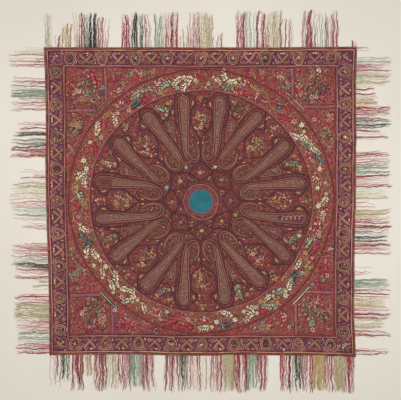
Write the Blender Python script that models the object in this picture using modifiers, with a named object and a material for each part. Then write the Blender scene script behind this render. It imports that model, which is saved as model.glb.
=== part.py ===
"""A square embroidered wool shawl laid out flat, with a plain round moon at its middle, a patterned
border sewn on in four strips and a many-coloured fringe on all four sides.

Units are metres, +Z is up, +Y is the shawl's top edge and the origin is on the ground under its middle.
Cloth places are worked out on a perfect square (u across, v up) and then moved by the drift of the
hand-cut edges and lifted by the low ripples, so that every seam stays shut.
"""

import math

import bpy
import bmesh

# Driving sizes of the cloth
SIDE = 1.86  # edge to edge, without the fringe
WALL = 0.002  # wool twill with its embroidery
SEAM = 0.0003  # parting between two sewn pieces
BINDING_WIDTH = 0.020  # narrow outer strip, which carries the fringe
BORDER_WIDTH = 0.100  # patterned strip between the binding and the field
MOON_RADIUS = 0.070  # plain round piece at the middle
MOON_SIDES = 48
FIELD_CELLS = 24  # cloth cells along the field's side
FIELD_HALF = SIDE / 2 - BINDING_WIDTH - BORDER_WIDTH
BINDING_HALF = SIDE / 2 - BINDING_WIDTH

# Driving sizes of the fringe
FRINGE_LENGTH = 0.228  # the longest threads
TRIM_LINE = 1.156  # the longest threads are trimmed to this line, measured from the middle
LOCK_WIDTH = 0.0165  # a lock of a full block, at its root
LOCK_GAP = 0.005  # the least between two locks of one block
LOCK_THICKNESS = 0.0014
LOCK_LIFT = 0.0003  # gap under a lock, where the threads lie on the ground
LOCK_ROOT = 0.0045  # how far a lock runs into the binding
CORNER_CLEAR = 0.008  # the bare end of a binding, up to its mitre
LOCK_WANDER = 0.0022  # how far a lock strays sideways
LOCKS_PER_BLOCK = 3  # in a block that has lost no threads
RAGGED_SHARE = 0.03  # the most that a lock of a block falls short of its longest one
TIP_SHARE = 0.55  # a lock's width at its tip, as a share of its width at the root
FALL_SHARE = 0.4  # the share of a lock that falls from a lifted edge to the ground
LOCK_SECTIONS = (0.0, 0.3, 0.65, 1.0)  # shares of a lock's length

# The way out from each side
OUTWARD = {"top": (0, 1), "right": (1, 0), "bottom": (0, -1), "left": (-1, 0)}

# How far each hand-cut edge lies outside the perfect square, in millimetres, at nine even places.
# The sides run from the top corner down, and the top and bottom from the left corner across.
EDGE_DRIFT = {
    "left": (15, 6, 3, 5, 2, -6, -13, -17, -18),
    "right": (10, 4, 5, 4, 3, -4, -6, -6, 3),
    "top": (-2, -3, -3, -3, -4, -4, -3, -1, 1),
    "bottom": (-4, -7, -8, -4, -1, -5, -3, -1, 8),
}

# The low ripples that run in from an edge: the side, the share along it, the length, the half width
# and the height, in metres
RIPPLES = (
    ("top", 0.13, 0.34, 0.085, 0.0042),
    ("top", 0.37, 0.22, 0.095, 0.0030),
    ("top", 0.58, 0.42, 0.080, 0.0036),
    ("top", 0.84, 0.26, 0.090, 0.0046),
    ("right", 0.10, 0.24, 0.085, 0.0036),
    ("right", 0.29, 0.40, 0.080, 0.0044),
    ("right", 0.53, 0.28, 0.100, 0.0030),
    ("right", 0.76, 0.46, 0.085, 0.0048),
    ("bottom", 0.17, 0.30, 0.090, 0.0040),
    ("bottom", 0.41, 0.44, 0.080, 0.0034),
    ("bottom", 0.66, 0.25, 0.095, 0.0044),
    ("bottom", 0.89, 0.33, 0.080, 0.0032),
    ("left", 0.15, 0.42, 0.090, 0.0046),
    ("left", 0.36, 0.26, 0.080, 0.0032),
    ("left", 0.60, 0.38, 0.095, 0.0042),
    ("left", 0.86, 0.29, 0.085, 0.0036),
)

# The long shallow swells within the field: the middle's u and v, the way it runs in degrees, the half
# length, the half width and the height
SWELLS = (
    (-0.36, 0.34, 48.0, 0.42, 0.13, 0.0034),
    (0.42, 0.30, -35.0, 0.38, 0.12, 0.0028),
    (0.34, -0.42, 40.0, 0.40, 0.14, 0.0036),
    (-0.43, -0.33, -52.0, 0.36, 0.12, 0.0030),
    (0.02, 0.52, 4.0, 0.34, 0.11, 0.0022),
)

# The fringe, block by block from the left or top corner: the thread's colour, the block's width in
# millimetres, its length as a share of the longest and its fullness as a share of a whole block. A gap
# has lost its threads.
FRINGE_BLOCKS = {
    "top": (
        ("cream", 38, 0.92, 1.0),
        ("red", 62, 0.36, 0.3),
        ("gold", 54, 0.65, 0.6),
        ("gap", 22, 0.0, 0.0),
        ("red", 58, 0.93, 0.8),
        ("black", 75, 0.95, 1.0),
        ("red", 68, 0.85, 0.7),
        ("gap", 76, 0.0, 0.0),
        ("red", 63, 0.97, 1.0),
        ("black", 68, 0.93, 0.8),
        ("red", 50, 0.90, 0.5),
        ("gap", 19, 0.0, 0.0),
        ("green", 67, 0.93, 0.7),
        ("red", 77, 1.0, 1.0),
        ("cream", 54, 0.50, 0.3),
        ("red", 76, 0.98, 1.0),
        ("cream", 68, 0.98, 1.0),
        ("red", 62, 0.42, 0.4),
        ("gap", 83, 0.0, 0.0),
        ("red", 60, 1.0, 1.0),
        ("green", 63, 0.98, 0.8),
        ("red", 70, 0.98, 1.0),
        ("olive", 73, 0.98, 1.0),
        ("red", 68, 0.78, 0.4),
        ("gap", 63, 0.0, 0.0),
        ("red", 72, 1.0, 1.0),
        ("black", 73, 0.95, 0.5),
        ("red", 70, 1.0, 1.0),
        ("gap", 78, 0.0, 0.0),
        ("red", 26, 0.16, 0.3),
    ),
    "right": (
        ("red", 22, 0.38, 0.3),
        ("gap", 20, 0.0, 0.0),
        ("green", 58, 0.95, 0.3),
        ("red", 52, 1.0, 1.0),
        ("cream", 68, 0.94, 0.8),
        ("red", 62, 0.52, 0.5),
        ("gold", 64, 0.60, 0.7),
        ("red", 68, 0.98, 1.0),
        ("black", 68, 0.95, 0.8),
        ("red", 66, 0.90, 0.4),
        ("gap", 74, 0.0, 0.0),
        ("red", 74, 0.94, 1.0),
        ("green", 58, 0.94, 0.9),
        ("red", 74, 0.97, 1.0),
        ("cream", 75, 0.86, 0.7),
        ("red", 62, 0.52, 0.3),
        ("gold", 54, 0.96, 1.0),
        ("red", 68, 0.97, 1.0),
        ("black", 64, 0.93, 0.8),
        ("red", 74, 0.98, 1.0),
        ("gap", 62, 0.0, 0.0),
        ("red", 74, 0.50, 0.3),
        ("gap", 18, 0.0, 0.0),
        ("green", 54, 0.97, 1.0),
        ("red", 60, 0.98, 0.7),
        ("gold", 62, 0.92, 1.0),
        ("red", 60, 1.0, 1.0),
        ("cream", 66, 0.80, 0.6),
        ("red", 42, 1.0, 1.0),
        ("gap", 66, 0.0, 0.0),
        ("red", 48, 0.95, 0.8),
    ),
    "bottom": (
        ("red", 62, 0.85, 0.5),
        ("black", 54, 0.76, 0.7),
        ("gap", 16, 0.0, 0.0),
        ("red", 62, 1.0, 1.0),
        ("gold", 70, 0.58, 0.4),
        ("red", 68, 1.0, 1.0),
        ("cream", 72, 0.94, 0.7),
        ("red", 72, 0.98, 0.8),
        ("green", 68, 0.88, 1.0),
        ("red", 78, 1.0, 1.0),
        ("gap", 68, 0.0, 0.0),
        ("red", 76, 1.0, 0.9),
        ("black", 60, 1.0, 1.0),
        ("red", 72, 0.98, 0.7),
        ("cream", 62, 0.95, 0.3),
        ("red", 70, 1.0, 1.0),
        ("olive", 69, 1.0, 1.0),
        ("red", 76, 1.0, 1.0),
        ("green", 62, 0.96, 1.0),
        ("red", 66, 0.99, 1.0),
        ("gap", 74, 0.0, 0.0),
        ("red", 62, 0.99, 1.0),
        ("black", 68, 0.96, 1.0),
        ("red", 67, 1.0, 1.0),
        ("gold", 70, 0.96, 1.0),
        ("red", 56, 1.0, 1.0),
        ("olive", 66, 0.98, 0.9),
        ("red", 58, 1.0, 1.0),
    ),
    "left": (
        ("cream", 40, 0.82, 0.7),
        ("red", 68, 0.97, 0.8),
        ("gap", 60, 0.0, 0.0),
        ("red", 66, 0.90, 0.4),
        ("green", 60, 0.94, 1.0),
        ("red", 64, 0.94, 1.0),
        ("gap", 74, 0.0, 0.0),
        ("red", 48, 0.76, 0.4),
        ("black", 92, 0.94, 0.7),
        ("red", 70, 0.98, 0.9),
        ("gap", 64, 0.0, 0.0),
        ("red", 74, 0.72, 0.4),
        ("cream", 74, 0.97, 0.9),
        ("red", 68, 1.0, 0.8),
        ("green", 66, 0.96, 1.0),
        ("red", 74, 0.70, 0.4),
        ("gap", 66, 0.0, 0.0),
        ("red", 78, 0.98, 1.0),
        ("black", 68, 0.98, 1.0),
        ("red", 64, 0.93, 0.8),
        ("cream", 84, 0.42, 0.3),
        ("red", 66, 0.93, 0.8),
        ("olive", 82, 0.95, 1.0),
        ("red", 72, 0.96, 0.9),
        ("green", 66, 0.84, 0.8),
        ("red", 64, 0.96, 1.0),
    ),
}

# Colour, roughness and metallic value of each material
MATERIALS = {
    "field": ((0.19, 0.065, 0.05, 1.0), 0.9, 0.0),
    "moon": ((0.035, 0.16, 0.185, 1.0), 0.85, 0.0),
    "border": ((0.17, 0.065, 0.075, 1.0), 0.9, 0.0),
    "fringe": ((0.45, 0.16, 0.15, 1.0), 0.7, 0.0),
}


def start_scene():
    """Clear the scene and make the shawl's collection and the one for its cutters."""
    for old in list(bpy.data.objects):
        bpy.data.objects.remove(old)
    made = []
    for name in ("shawl", "cutters"):
        collection = bpy.data.collections.new(name)
        bpy.context.scene.collection.children.link(collection)
        made.append(collection)
    return made


def file_under(collection, thing):
    """Move an object into one collection alone."""
    for holder in list(thing.users_collection):
        holder.objects.unlink(thing)
    collection.objects.link(thing)


def finish_of(name):
    """The Principled material of that name."""
    material = bpy.data.materials.get(name)
    if material:
        return material
    colour, roughness, metallic = MATERIALS[name]
    material = bpy.data.materials.new(name)
    material.use_nodes = True
    shader = material.node_tree.nodes["Principled BSDF"]
    shader.inputs["Base Color"].default_value = colour
    shader.inputs["Roughness"].default_value = roughness
    shader.inputs["Metallic"].default_value = metallic
    material.diffuse_color = colour
    return material


def smooth_row(values, share):
    """A smooth curve through evenly spaced values, read at a share from 0 to 1."""
    place = min(max(share, 0.0), 1.0) * (len(values) - 1)
    k = min(int(place), len(values) - 2)
    t = place - k
    before = values[max(k - 1, 0)]
    after = values[min(k + 2, len(values) - 1)]
    rise = (values[k + 1] - before) / 2
    next_rise = (after - values[k]) / 2
    step = values[k + 1] - values[k]
    return (
        values[k]
        + rise * t
        + (3 * step - 2 * rise - next_rise) * t * t
        + (rise + next_rise - 2 * step) * t**3
    )


def place(u, v):
    """Where a point of the perfect square lies on the hand-cut cloth."""
    across = u / SIDE + 0.5
    down = 0.5 - v / SIDE
    left = -smooth_row(EDGE_DRIFT["left"], down)
    right = smooth_row(EDGE_DRIFT["right"], down)
    top = smooth_row(EDGE_DRIFT["top"], across)
    bottom = -smooth_row(EDGE_DRIFT["bottom"], across)
    x = u + (left * (1 - across) + right * across) / 1000
    y = v + (top * (1 - down) + bottom * down) / 1000
    return x, y


def hump(t):
    """A smooth hump, 1 at t of 0 and exactly 0 from t of 1 on."""
    return (1 - t * t) ** 2 if abs(t) < 1 else 0.0


def on_side(side, along, inward):
    """The place on the perfect square of a point along a side, from its left or top corner."""
    start, edge = along - SIDE / 2, SIDE / 2 - inward
    return {
        "top": (start, edge),
        "bottom": (start, -edge),
        "left": (-edge, -start),
        "right": (edge, -start),
    }[side]


def side_distances(side, u, v):
    """How far a place lies along a side and inward from it."""
    return {
        "top": (u + SIDE / 2, SIDE / 2 - v),
        "bottom": (u + SIDE / 2, SIDE / 2 + v),
        "left": (SIDE / 2 - v, SIDE / 2 + u),
        "right": (SIDE / 2 - v, SIDE / 2 - u),
    }[side]


def lift(u, v):
    """How far the cloth's underside stands off the ground."""
    height = 0.0
    for side, share, length, half_width, rise in RIPPLES:
        along, inward = side_distances(side, u, v)
        height += rise * hump((along - share * SIDE) / half_width) * hump(max(inward, 0.0) / length)
    for middle_u, middle_v, angle, half_length, half_width, rise in SWELLS:
        run, turn = math.cos(math.radians(angle)), math.sin(math.radians(angle))
        along = (u - middle_u) * run + (v - middle_v) * turn
        aside = (v - middle_v) * run - (u - middle_u) * turn
        height += rise * hump(along / half_length) * hump(aside / half_width)
    return height


def even(start, end, cells):
    """Evenly spaced stations."""
    return [start + (end - start) * k / cells for k in range(cells + 1)]


def cloth_panel(name, us, vs, material, collection, mitred=None):
    """A wall of cloth over the stations us and vs. A mitred strip's ends slant to its inner edge."""
    bm = bmesh.new()
    bmesh.ops.create_grid(bm, x_segments=len(us) - 1, y_segments=len(vs) - 1, size=0.5)
    for corner in bm.verts:
        u = us[round((corner.co.x + 0.5) * (len(us) - 1))]
        v = vs[round((corner.co.y + 0.5) * (len(vs) - 1))]
        if mitred == "across":
            u = max(-abs(v) + SEAM, min(abs(v) - SEAM, u))
        if mitred == "along":
            v = max(-abs(u) + SEAM, min(abs(u) - SEAM, v))
        x, y = place(u, v)
        corner.co = (x, y, lift(u, v))
    bmesh.ops.recalc_face_normals(bm, faces=bm.faces)
    if sum(face.normal.z for face in bm.faces) < 0:
        bmesh.ops.reverse_faces(bm, faces=bm.faces)
    mesh = bpy.data.meshes.new(name)
    bm.to_mesh(mesh)
    bm.free()
    panel = bpy.data.objects.new(name, mesh)
    collection.objects.link(panel)
    wall = panel.modifiers.new("wall", "SOLIDIFY")
    wall.thickness = WALL
    wall.offset = 1.0
    mesh.materials.append(finish_of(material))
    return panel


def round_cutter(radius, cutters):
    """A cylinder for the moon's opening."""
    bpy.ops.mesh.primitive_cylinder_add(vertices=MOON_SIDES, radius=radius, depth=WALL * 10)
    cutter = bpy.context.object
    cutter.name = "moon_opening"
    file_under(cutters, cutter)
    cutter.hide_render = True
    cutter.display_type = "WIRE"
    return cutter


def make_field(shawl, cutters):
    """The embroidered ground, with a round opening for the moon."""
    stations = even(-FIELD_HALF, FIELD_HALF, FIELD_CELLS)
    field = cloth_panel("field", stations, stations, "field", shawl)
    opening = field.modifiers.new("moon_opening", "BOOLEAN")
    opening.operation = "DIFFERENCE"
    opening.object = round_cutter(MOON_RADIUS + SEAM, cutters)
    return field


def make_moon(shawl):
    """The plain round piece let into the middle of the field."""
    bpy.ops.mesh.primitive_cylinder_add(
        vertices=MOON_SIDES, radius=MOON_RADIUS, depth=WALL, location=(0, 0, WALL / 2)
    )
    moon = bpy.context.object
    moon.name = "moon"
    file_under(shawl, moon)
    moon.data.materials.append(finish_of("moon"))
    return moon


def make_borders(shawl):
    """The four patterned strips. The top and bottom ones run over the ends of the other two."""
    inner = even(-FIELD_HALF, FIELD_HALF, FIELD_CELLS)
    whole = [-BINDING_HALF, *inner, BINDING_HALF]
    band = even(FIELD_HALF + SEAM, BINDING_HALF, 2)
    mirrored = [-x for x in reversed(band)]
    cloth_panel("border_top", whole, band, "border", shawl)
    cloth_panel("border_bottom", whole, mirrored, "border", shawl)
    cloth_panel("border_right", band, inner, "border", shawl)
    cloth_panel("border_left", mirrored, inner, "border", shawl)


def lock_section(bm, side, middle, half, outward, low):
    """The four corners of one lock's section, trimmed to the line where the longest threads end."""
    out_x, out_y = OUTWARD[side]
    corners = []
    for aside, height in ((-half, 0.0), (half, 0.0), (half, LOCK_THICKNESS), (-half, LOCK_THICKNESS)):
        x, y = place(*on_side(side, middle + aside, 0.0))
        x = max(-TRIM_LINE, min(TRIM_LINE, x + out_x * outward))
        y = max(-TRIM_LINE, min(TRIM_LINE, y + out_y * outward))
        corners.append(bm.verts.new((x, y, low + height)))
    return corners


def add_lock(bm, side, middle, width, length, number):
    """One lock of threads, which leaves the binding's outer edge and falls to the ground."""
    root_lift = lift(*on_side(side, middle, 0.0))
    rings = []
    for share in LOCK_SECTIONS:
        stray = LOCK_WANDER * share * math.sin(2.4 * number + 4.1 * share)
        half = width / 2 * (1 - (1 - TIP_SHARE) * share)
        outward = share * (length + LOCK_ROOT) - LOCK_ROOT
        low = LOCK_LIFT + root_lift * max(0.0, 1 - share / FALL_SHARE) ** 2
        rings.append(lock_section(bm, side, middle + stray, half, outward, low))
    for ring, following in zip(rings, rings[1:]):
        for k in range(4):
            bm.faces.new((ring[k], ring[(k + 1) % 4], following[(k + 1) % 4], following[k]))
    bm.faces.new(reversed(rings[0]))
    bm.faces.new(rings[-1])


def fringe_locks(side, cutters):
    """All locks of one side as one mesh of bars that stand apart."""
    bm = bmesh.new()
    blocks = FRINGE_BLOCKS[side]
    fit = (SIDE - 2 * CORNER_CLEAR) / sum(width for _colour, width, _length, _fullness in blocks)
    corner = CORNER_CLEAR
    number = 0
    for _colour, block_width, length_share, fullness in blocks:
        width = block_width * fit
        count = max(1, round(fullness * LOCKS_PER_BLOCK)) if fullness else 0
        pitch = width / max(count, 1)
        lock_width = min(LOCK_WIDTH * (0.5 + 0.5 * fullness), pitch - LOCK_GAP)
        for k in range(count):
            number += 1
            middle = corner + pitch * (k + 0.5)
            length = FRINGE_LENGTH * length_share * (1 - RAGGED_SHARE * math.sin(5.0 * number) ** 2)
            add_lock(bm, side, middle, lock_width, length, number)
        corner += width
    bmesh.ops.recalc_face_normals(bm, faces=bm.faces)
    mesh = bpy.data.meshes.new(f"locks_{side}")
    bm.to_mesh(mesh)
    bm.free()
    locks = bpy.data.objects.new(f"locks_{side}", mesh)
    cutters.objects.link(locks)
    locks.hide_render = True
    locks.display_type = "WIRE"
    return locks


def make_fringes(shawl, cutters):
    """The four mitred bindings, each with its locks fused into it."""
    inner = even(-FIELD_HALF, FIELD_HALF, FIELD_CELLS)
    along = [-SIDE / 2, *inner, SIDE / 2]
    band = [BINDING_HALF + SEAM, SIDE / 2]
    mirrored = [-x for x in reversed(band)]
    strips = {
        "top": (along, band, "across"),
        "bottom": (along, mirrored, "across"),
        "right": (band, along, "along"),
        "left": (mirrored, along, "along"),
    }
    for side, (us, vs, mitred) in strips.items():
        strip = cloth_panel(f"fringe_{side}", us, vs, "fringe", shawl, mitred)
        joined = strip.modifiers.new("locks", "BOOLEAN")
        joined.operation = "UNION"
        joined.object = fringe_locks(side, cutters)


def main():
    """Build the whole shawl."""
    shawl, cutters = start_scene()
    make_field(shawl, cutters)
    make_moon(shawl)
    make_borders(shawl)
    make_fringes(shawl, cutters)


main()
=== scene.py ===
import math
import random

import bpy
import numpy as np
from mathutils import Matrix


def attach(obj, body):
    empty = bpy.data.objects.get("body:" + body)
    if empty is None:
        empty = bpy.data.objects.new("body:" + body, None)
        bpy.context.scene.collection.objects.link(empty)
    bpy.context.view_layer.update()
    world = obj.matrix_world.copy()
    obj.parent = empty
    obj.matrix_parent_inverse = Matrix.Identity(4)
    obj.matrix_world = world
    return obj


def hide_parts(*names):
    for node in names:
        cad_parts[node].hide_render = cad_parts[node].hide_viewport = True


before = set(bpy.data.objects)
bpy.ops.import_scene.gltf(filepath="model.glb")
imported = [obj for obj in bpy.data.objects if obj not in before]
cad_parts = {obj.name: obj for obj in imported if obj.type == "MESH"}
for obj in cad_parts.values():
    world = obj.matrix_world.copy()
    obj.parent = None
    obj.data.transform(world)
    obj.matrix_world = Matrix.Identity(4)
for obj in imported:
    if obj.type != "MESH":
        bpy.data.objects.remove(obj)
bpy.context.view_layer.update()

# The ground of the shawl: a square of madder-red wool twill, covered all over with fine needlework.
# Its edges were cut by hand and it lies in low ripples, so every piece is drawn on a perfect square,
# u across and v up from the middle, and then laid on the cloth.
SIDE = 1.86
WALL = 0.002
SEAM = 0.0003
BINDING_HALF = SIDE / 2 - 0.020
FIELD_HALF = BINDING_HALF - 0.100
MOON_RADIUS = 0.070
MM = 0.001

EDGE_DRIFT = {
    "left": (15, 6, 3, 5, 2, -6, -13, -17, -18),
    "right": (10, 4, 5, 4, 3, -4, -6, -6, 3),
    "top": (-2, -3, -3, -3, -4, -4, -3, -1, 1),
    "bottom": (-4, -7, -8, -4, -1, -5, -3, -1, 8),
}

# The ripples that run in from an edge: the side, the share along it, the length, the half width and
# the height, in metres
RIPPLES = (
    ("top", 0.13, 0.34, 0.085, 0.0042),
    ("top", 0.37, 0.22, 0.095, 0.0030),
    ("top", 0.58, 0.42, 0.080, 0.0036),
    ("top", 0.84, 0.26, 0.090, 0.0046),
    ("right", 0.10, 0.24, 0.085, 0.0036),
    ("right", 0.29, 0.40, 0.080, 0.0044),
    ("right", 0.53, 0.28, 0.100, 0.0030),
    ("right", 0.76, 0.46, 0.085, 0.0048),
    ("bottom", 0.17, 0.30, 0.090, 0.0040),
    ("bottom", 0.41, 0.44, 0.080, 0.0034),
    ("bottom", 0.66, 0.25, 0.095, 0.0044),
    ("bottom", 0.89, 0.33, 0.080, 0.0032),
    ("left", 0.15, 0.42, 0.090, 0.0046),
    ("left", 0.36, 0.26, 0.080, 0.0032),
    ("left", 0.60, 0.38, 0.095, 0.0042),
    ("left", 0.86, 0.29, 0.085, 0.0036),
)

# The swells within the ground and its soft creases: the middle's u and v, the way they run in
# degrees, the half length, the half width and the height
SWELLS = (
    (-0.36, 0.34, 48.0, 0.42, 0.13, 0.0034),
    (0.42, 0.30, -35.0, 0.38, 0.12, 0.0028),
    (0.34, -0.42, 40.0, 0.40, 0.14, 0.0036),
    (-0.43, -0.33, -52.0, 0.36, 0.12, 0.0030),
    (0.02, 0.52, 4.0, 0.34, 0.11, 0.0022),
    (-0.30, 0.62, 24.0, 0.21, 0.030, 0.0011),
    (0.24, 0.66, -14.0, 0.17, 0.026, 0.0008),
    (0.63, 0.18, 81.0, 0.23, 0.032, 0.0012),
    (0.58, -0.22, 103.0, 0.15, 0.024, 0.0007),
    (0.12, -0.63, 9.0, 0.25, 0.030, 0.0010),
    (-0.38, -0.60, -21.0, 0.16, 0.026, 0.0012),
    (-0.64, -0.06, 94.0, 0.20, 0.028, 0.0009),
    (-0.55, 0.28, 66.0, 0.13, 0.022, 0.0007),
    (0.29, 0.14, 31.0, 0.18, 0.034, 0.0006),
    (-0.24, -0.20, -38.0, 0.20, 0.036, 0.0007),
)
EDGE_FALL = 0.09  # how far past an edge a thread has come down to the ground


def hump(t):
    """A smooth hump, 1 at t of 0 and 0 from t of 1 on."""
    return np.where(np.abs(t) < 1, (1 - t * t) ** 2, 0.0)


def drift(side, share):
    """How far a side's edge lies outside the perfect square, on a smooth curve through its places."""
    values = np.array(EDGE_DRIFT[side]) * MM
    spot = np.clip(share, 0, 1) * (len(values) - 1)
    k = np.minimum(spot.astype(int), len(values) - 2)
    t = spot - k
    step = values[k + 1] - values[k]
    rise = (values[k + 1] - values[np.maximum(k - 1, 0)]) / 2
    next_rise = (values[np.minimum(k + 2, len(values) - 1)] - values[k]) / 2
    bend = 3 * step - 2 * rise - next_rise
    return values[k] + rise * t + bend * t**2 + (rise + next_rise - 2 * step) * t**3


def ground_lift(u, v):
    """How far the ripples, swells and creases lift the cloth off the ground."""
    sides = {"top": (u, v), "bottom": (u, -v), "left": (-v, -u), "right": (-v, u)}
    height = np.zeros_like(u)
    for side, share, length, half_width, rise in RIPPLES:
        along, out = sides[side]
        across = hump((along - (share - 0.5) * SIDE) / half_width)
        height += rise * across * hump((SIDE / 2 - out) / length)
    for middle_u, middle_v, angle, half_length, half_width, rise in SWELLS:
        run, turn = math.cos(math.radians(angle)), math.sin(math.radians(angle))
        along = (u - middle_u) * run + (v - middle_v) * turn
        aside = (v - middle_v) * run - (u - middle_u) * turn
        height += rise * hump(along / half_length) * hump(aside / half_width)
    return height


def lie(u, v, height):
    """Where points of the perfect square, or past its edge, lie on the real cloth."""
    inside_u = np.clip(u, -SIDE / 2, SIDE / 2)
    inside_v = np.clip(v, -SIDE / 2, SIDE / 2)
    across, down = inside_u / SIDE + 0.5, 0.5 - inside_v / SIDE
    x = u - drift("left", down) * (1 - across) + drift("right", down) * across
    y = v + drift("top", across) * (1 - down) - drift("bottom", across) * down
    past_edge = np.hypot(u - inside_u, v - inside_v)
    fall = np.clip(1 - past_edge / EDGE_FALL, 0, 1) ** 2
    return np.column_stack((x, y, height + ground_lift(inside_u, inside_v) * fall))


def lay(piece, on=WALL):
    """Lay a flat piece on the cloth, at a height over its ground side. Its UV maps keep its flat place."""
    mesh = piece.data
    flat = np.empty(len(mesh.vertices) * 3)
    mesh.vertices.foreach_get("co", flat)
    flat = flat.reshape(-1, 3)
    corners = np.empty(len(mesh.loops), np.int32)
    mesh.loops.foreach_get("vertex_index", corners)
    low, high = flat[:, :2].min(0), flat[:, :2].max(0)
    for name, places in (("cloth", flat[:, :2]), ("OFBake", (flat[:, :2] - low) / (high - low))):
        mesh.uv_layers.new(name=name).data.foreach_set("uv", places[corners].ravel())
    mesh.vertices.foreach_set("co", lie(flat[:, 0], flat[:, 1], flat[:, 2] + on).ravel())
    mesh.shade_smooth()
    mesh.update()


def settle(piece):
    """Turn a piece's modifiers into a plain mesh."""
    depsgraph = bpy.context.evaluated_depsgraph_get()
    made = bpy.data.meshes.new_from_object(piece.evaluated_get(depsgraph))
    piece.modifiers.clear()
    piece.data = made


def new_piece(name, mesh):
    """An object of that mesh in the scene."""
    piece = bpy.data.objects.new(name, mesh)
    bpy.context.scene.collection.objects.link(piece)
    return piece


def even(start, end, spacing):
    """Evenly spaced stations, about that far apart."""
    return np.linspace(start, end, max(2, round((end - start) / spacing) + 1))


def flat_cloth(name, us, vs, mitre=None):
    """A thin flat shell of cloth over the stations us and vs, its ends slanted where it is mitred."""
    u, v = (grid.ravel() for grid in np.meshgrid(us, vs))
    if mitre == "across":
        u = np.clip(u, SEAM - np.abs(v), np.abs(v) - SEAM)
    if mitre == "along":
        v = np.clip(v, SEAM - np.abs(u), np.abs(u) - SEAM)
    row = len(us)
    cells = [(k, k + 1, k + 1 + row, k + row) for k in range(row * (len(vs) - 1)) if (k + 1) % row]
    mesh = bpy.data.meshes.new(name)
    mesh.from_pydata(np.column_stack((u, v, np.zeros_like(u))).tolist(), [], cells)
    piece = new_piece(name, mesh)
    wall = piece.modifiers.new("wall", "SOLIDIFY")
    wall.thickness = WALL
    wall.offset = 1.0
    return piece


def srgb(red, green, blue):
    """A colour that is named as the eye sees it, from 0 to 255, as the linear one that shaders take."""
    parts = ((c / 255) for c in (red, green, blue))
    return tuple(c / 12.92 if c < 0.04045 else ((c + 0.055) / 1.055) ** 2.4 for c in parts) + (1.0,)


def new_group(name, inputs, outputs):
    """A shader node group, with its sockets' names and values."""
    group = bpy.data.node_groups.new(name, "ShaderNodeTree")
    kinds = {tuple: "NodeSocketColor", list: "NodeSocketVector", float: "NodeSocketFloat"}
    for label, value in inputs.items():
        socket = group.interface.new_socket(name=label, in_out="INPUT", socket_type=kinds[type(value)])
        socket.default_value = value
    for label, value in outputs.items():
        group.interface.new_socket(name=label, in_out="OUTPUT", socket_type=kinds[type(value)])
    return group, group.nodes.new("NodeGroupInput").outputs, group.nodes.new("NodeGroupOutput").inputs


def node(tree, kind, inputs=None, **settings):
    """A node with its settings and its inputs, each of them a value or the socket that feeds it."""
    made = tree.nodes.new(kind)
    for label, value in settings.items():
        setattr(made, label, value)
    for label, value in (inputs or {}).items():
        if isinstance(value, bpy.types.NodeSocket):
            tree.links.new(value, made.inputs[label])
        else:
            made.inputs[label].default_value = value
    return made


def flow(tree, kind, inputs=None, **settings):
    """The first output of such a node."""
    return node(tree, kind, inputs, **settings).outputs[0]


def reckon(tree, operation, first, second):
    """A Math node's result."""
    return flow(tree, "ShaderNodeMath", {0: first, 1: second}, operation=operation)


def noise(tree, place, scale, detail):
    """A smooth noise, with that many bumps to a metre or so."""
    return flow(tree, "ShaderNodeTexNoise", {"Vector": place, "Scale": scale, "Detail": detail})


def blend_colours(tree, share, first, second, blend="MIX"):
    """A Mix node's colour, from two sockets or colours."""
    inputs = {0: share, 6: first, 7: second}
    return node(tree, "ShaderNodeMix", inputs, data_type="RGBA", blend_type=blend).outputs[2]


def ramp(tree, source, stops, interpolation="LINEAR"):
    """A colour ramp over its stops, each a position and a colour."""
    made = node(tree, "ShaderNodeValToRGB", {"Fac": source})
    made.color_ramp.interpolation = interpolation
    elements = made.color_ramp.elements
    while len(elements) < len(stops):
        elements.new(0.5)
    for element, (position, colour) in zip(elements, stops):
        element.position = position
        element.color = colour
    return made.outputs["Color"]


def patches(tree, source, stops):
    """A ramp that jumps from one colour to the next, each named as the eye sees it."""
    return ramp(tree, source, [(start, srgb(*colour)) for start, colour in stops], "CONSTANT")


def greys(tree, source, low, dark, high, light):
    """A ramp of shade that a colour is multiplied with, above 1 where it is made lighter."""
    return ramp(tree, source, ((low, (dark, dark, dark, 1)), (high, (light, light, light, 1))))


def use_group(tree, group, inputs):
    """The outputs of a group in a material."""
    return node(tree, "ShaderNodeGroup", inputs, node_tree=group).outputs


def new_material(name, roughness, sheen):
    """A material, its Principled shader and the flat place on the cloth, for cloth that is matt and soft."""
    material = bpy.data.materials.new(name)
    material.use_nodes = True
    tree = material.node_tree
    shader = tree.nodes["Principled BSDF"]
    shader.inputs["Roughness"].default_value = roughness
    shader.inputs["Specular IOR Level"].default_value = 0.25
    shader.inputs["Sheen Weight"].default_value = sheen
    shader.inputs["Sheen Roughness"].default_value = 0.4
    place = node(tree, "ShaderNodeUVMap", uv_map="cloth").outputs["UV"]
    return material, tree, shader, place


def dress(tree, shader, colour, height, distance, strength=0.6):
    """Feed the shader its colour and, as a bump, its height."""
    tree.links.new(colour, shader.inputs["Base Color"])
    made = node(tree, "ShaderNodeBump", {"Strength": strength, "Distance": distance, "Height": height})
    tree.links.new(made.outputs["Normal"], shader.inputs["Normal"])


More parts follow.
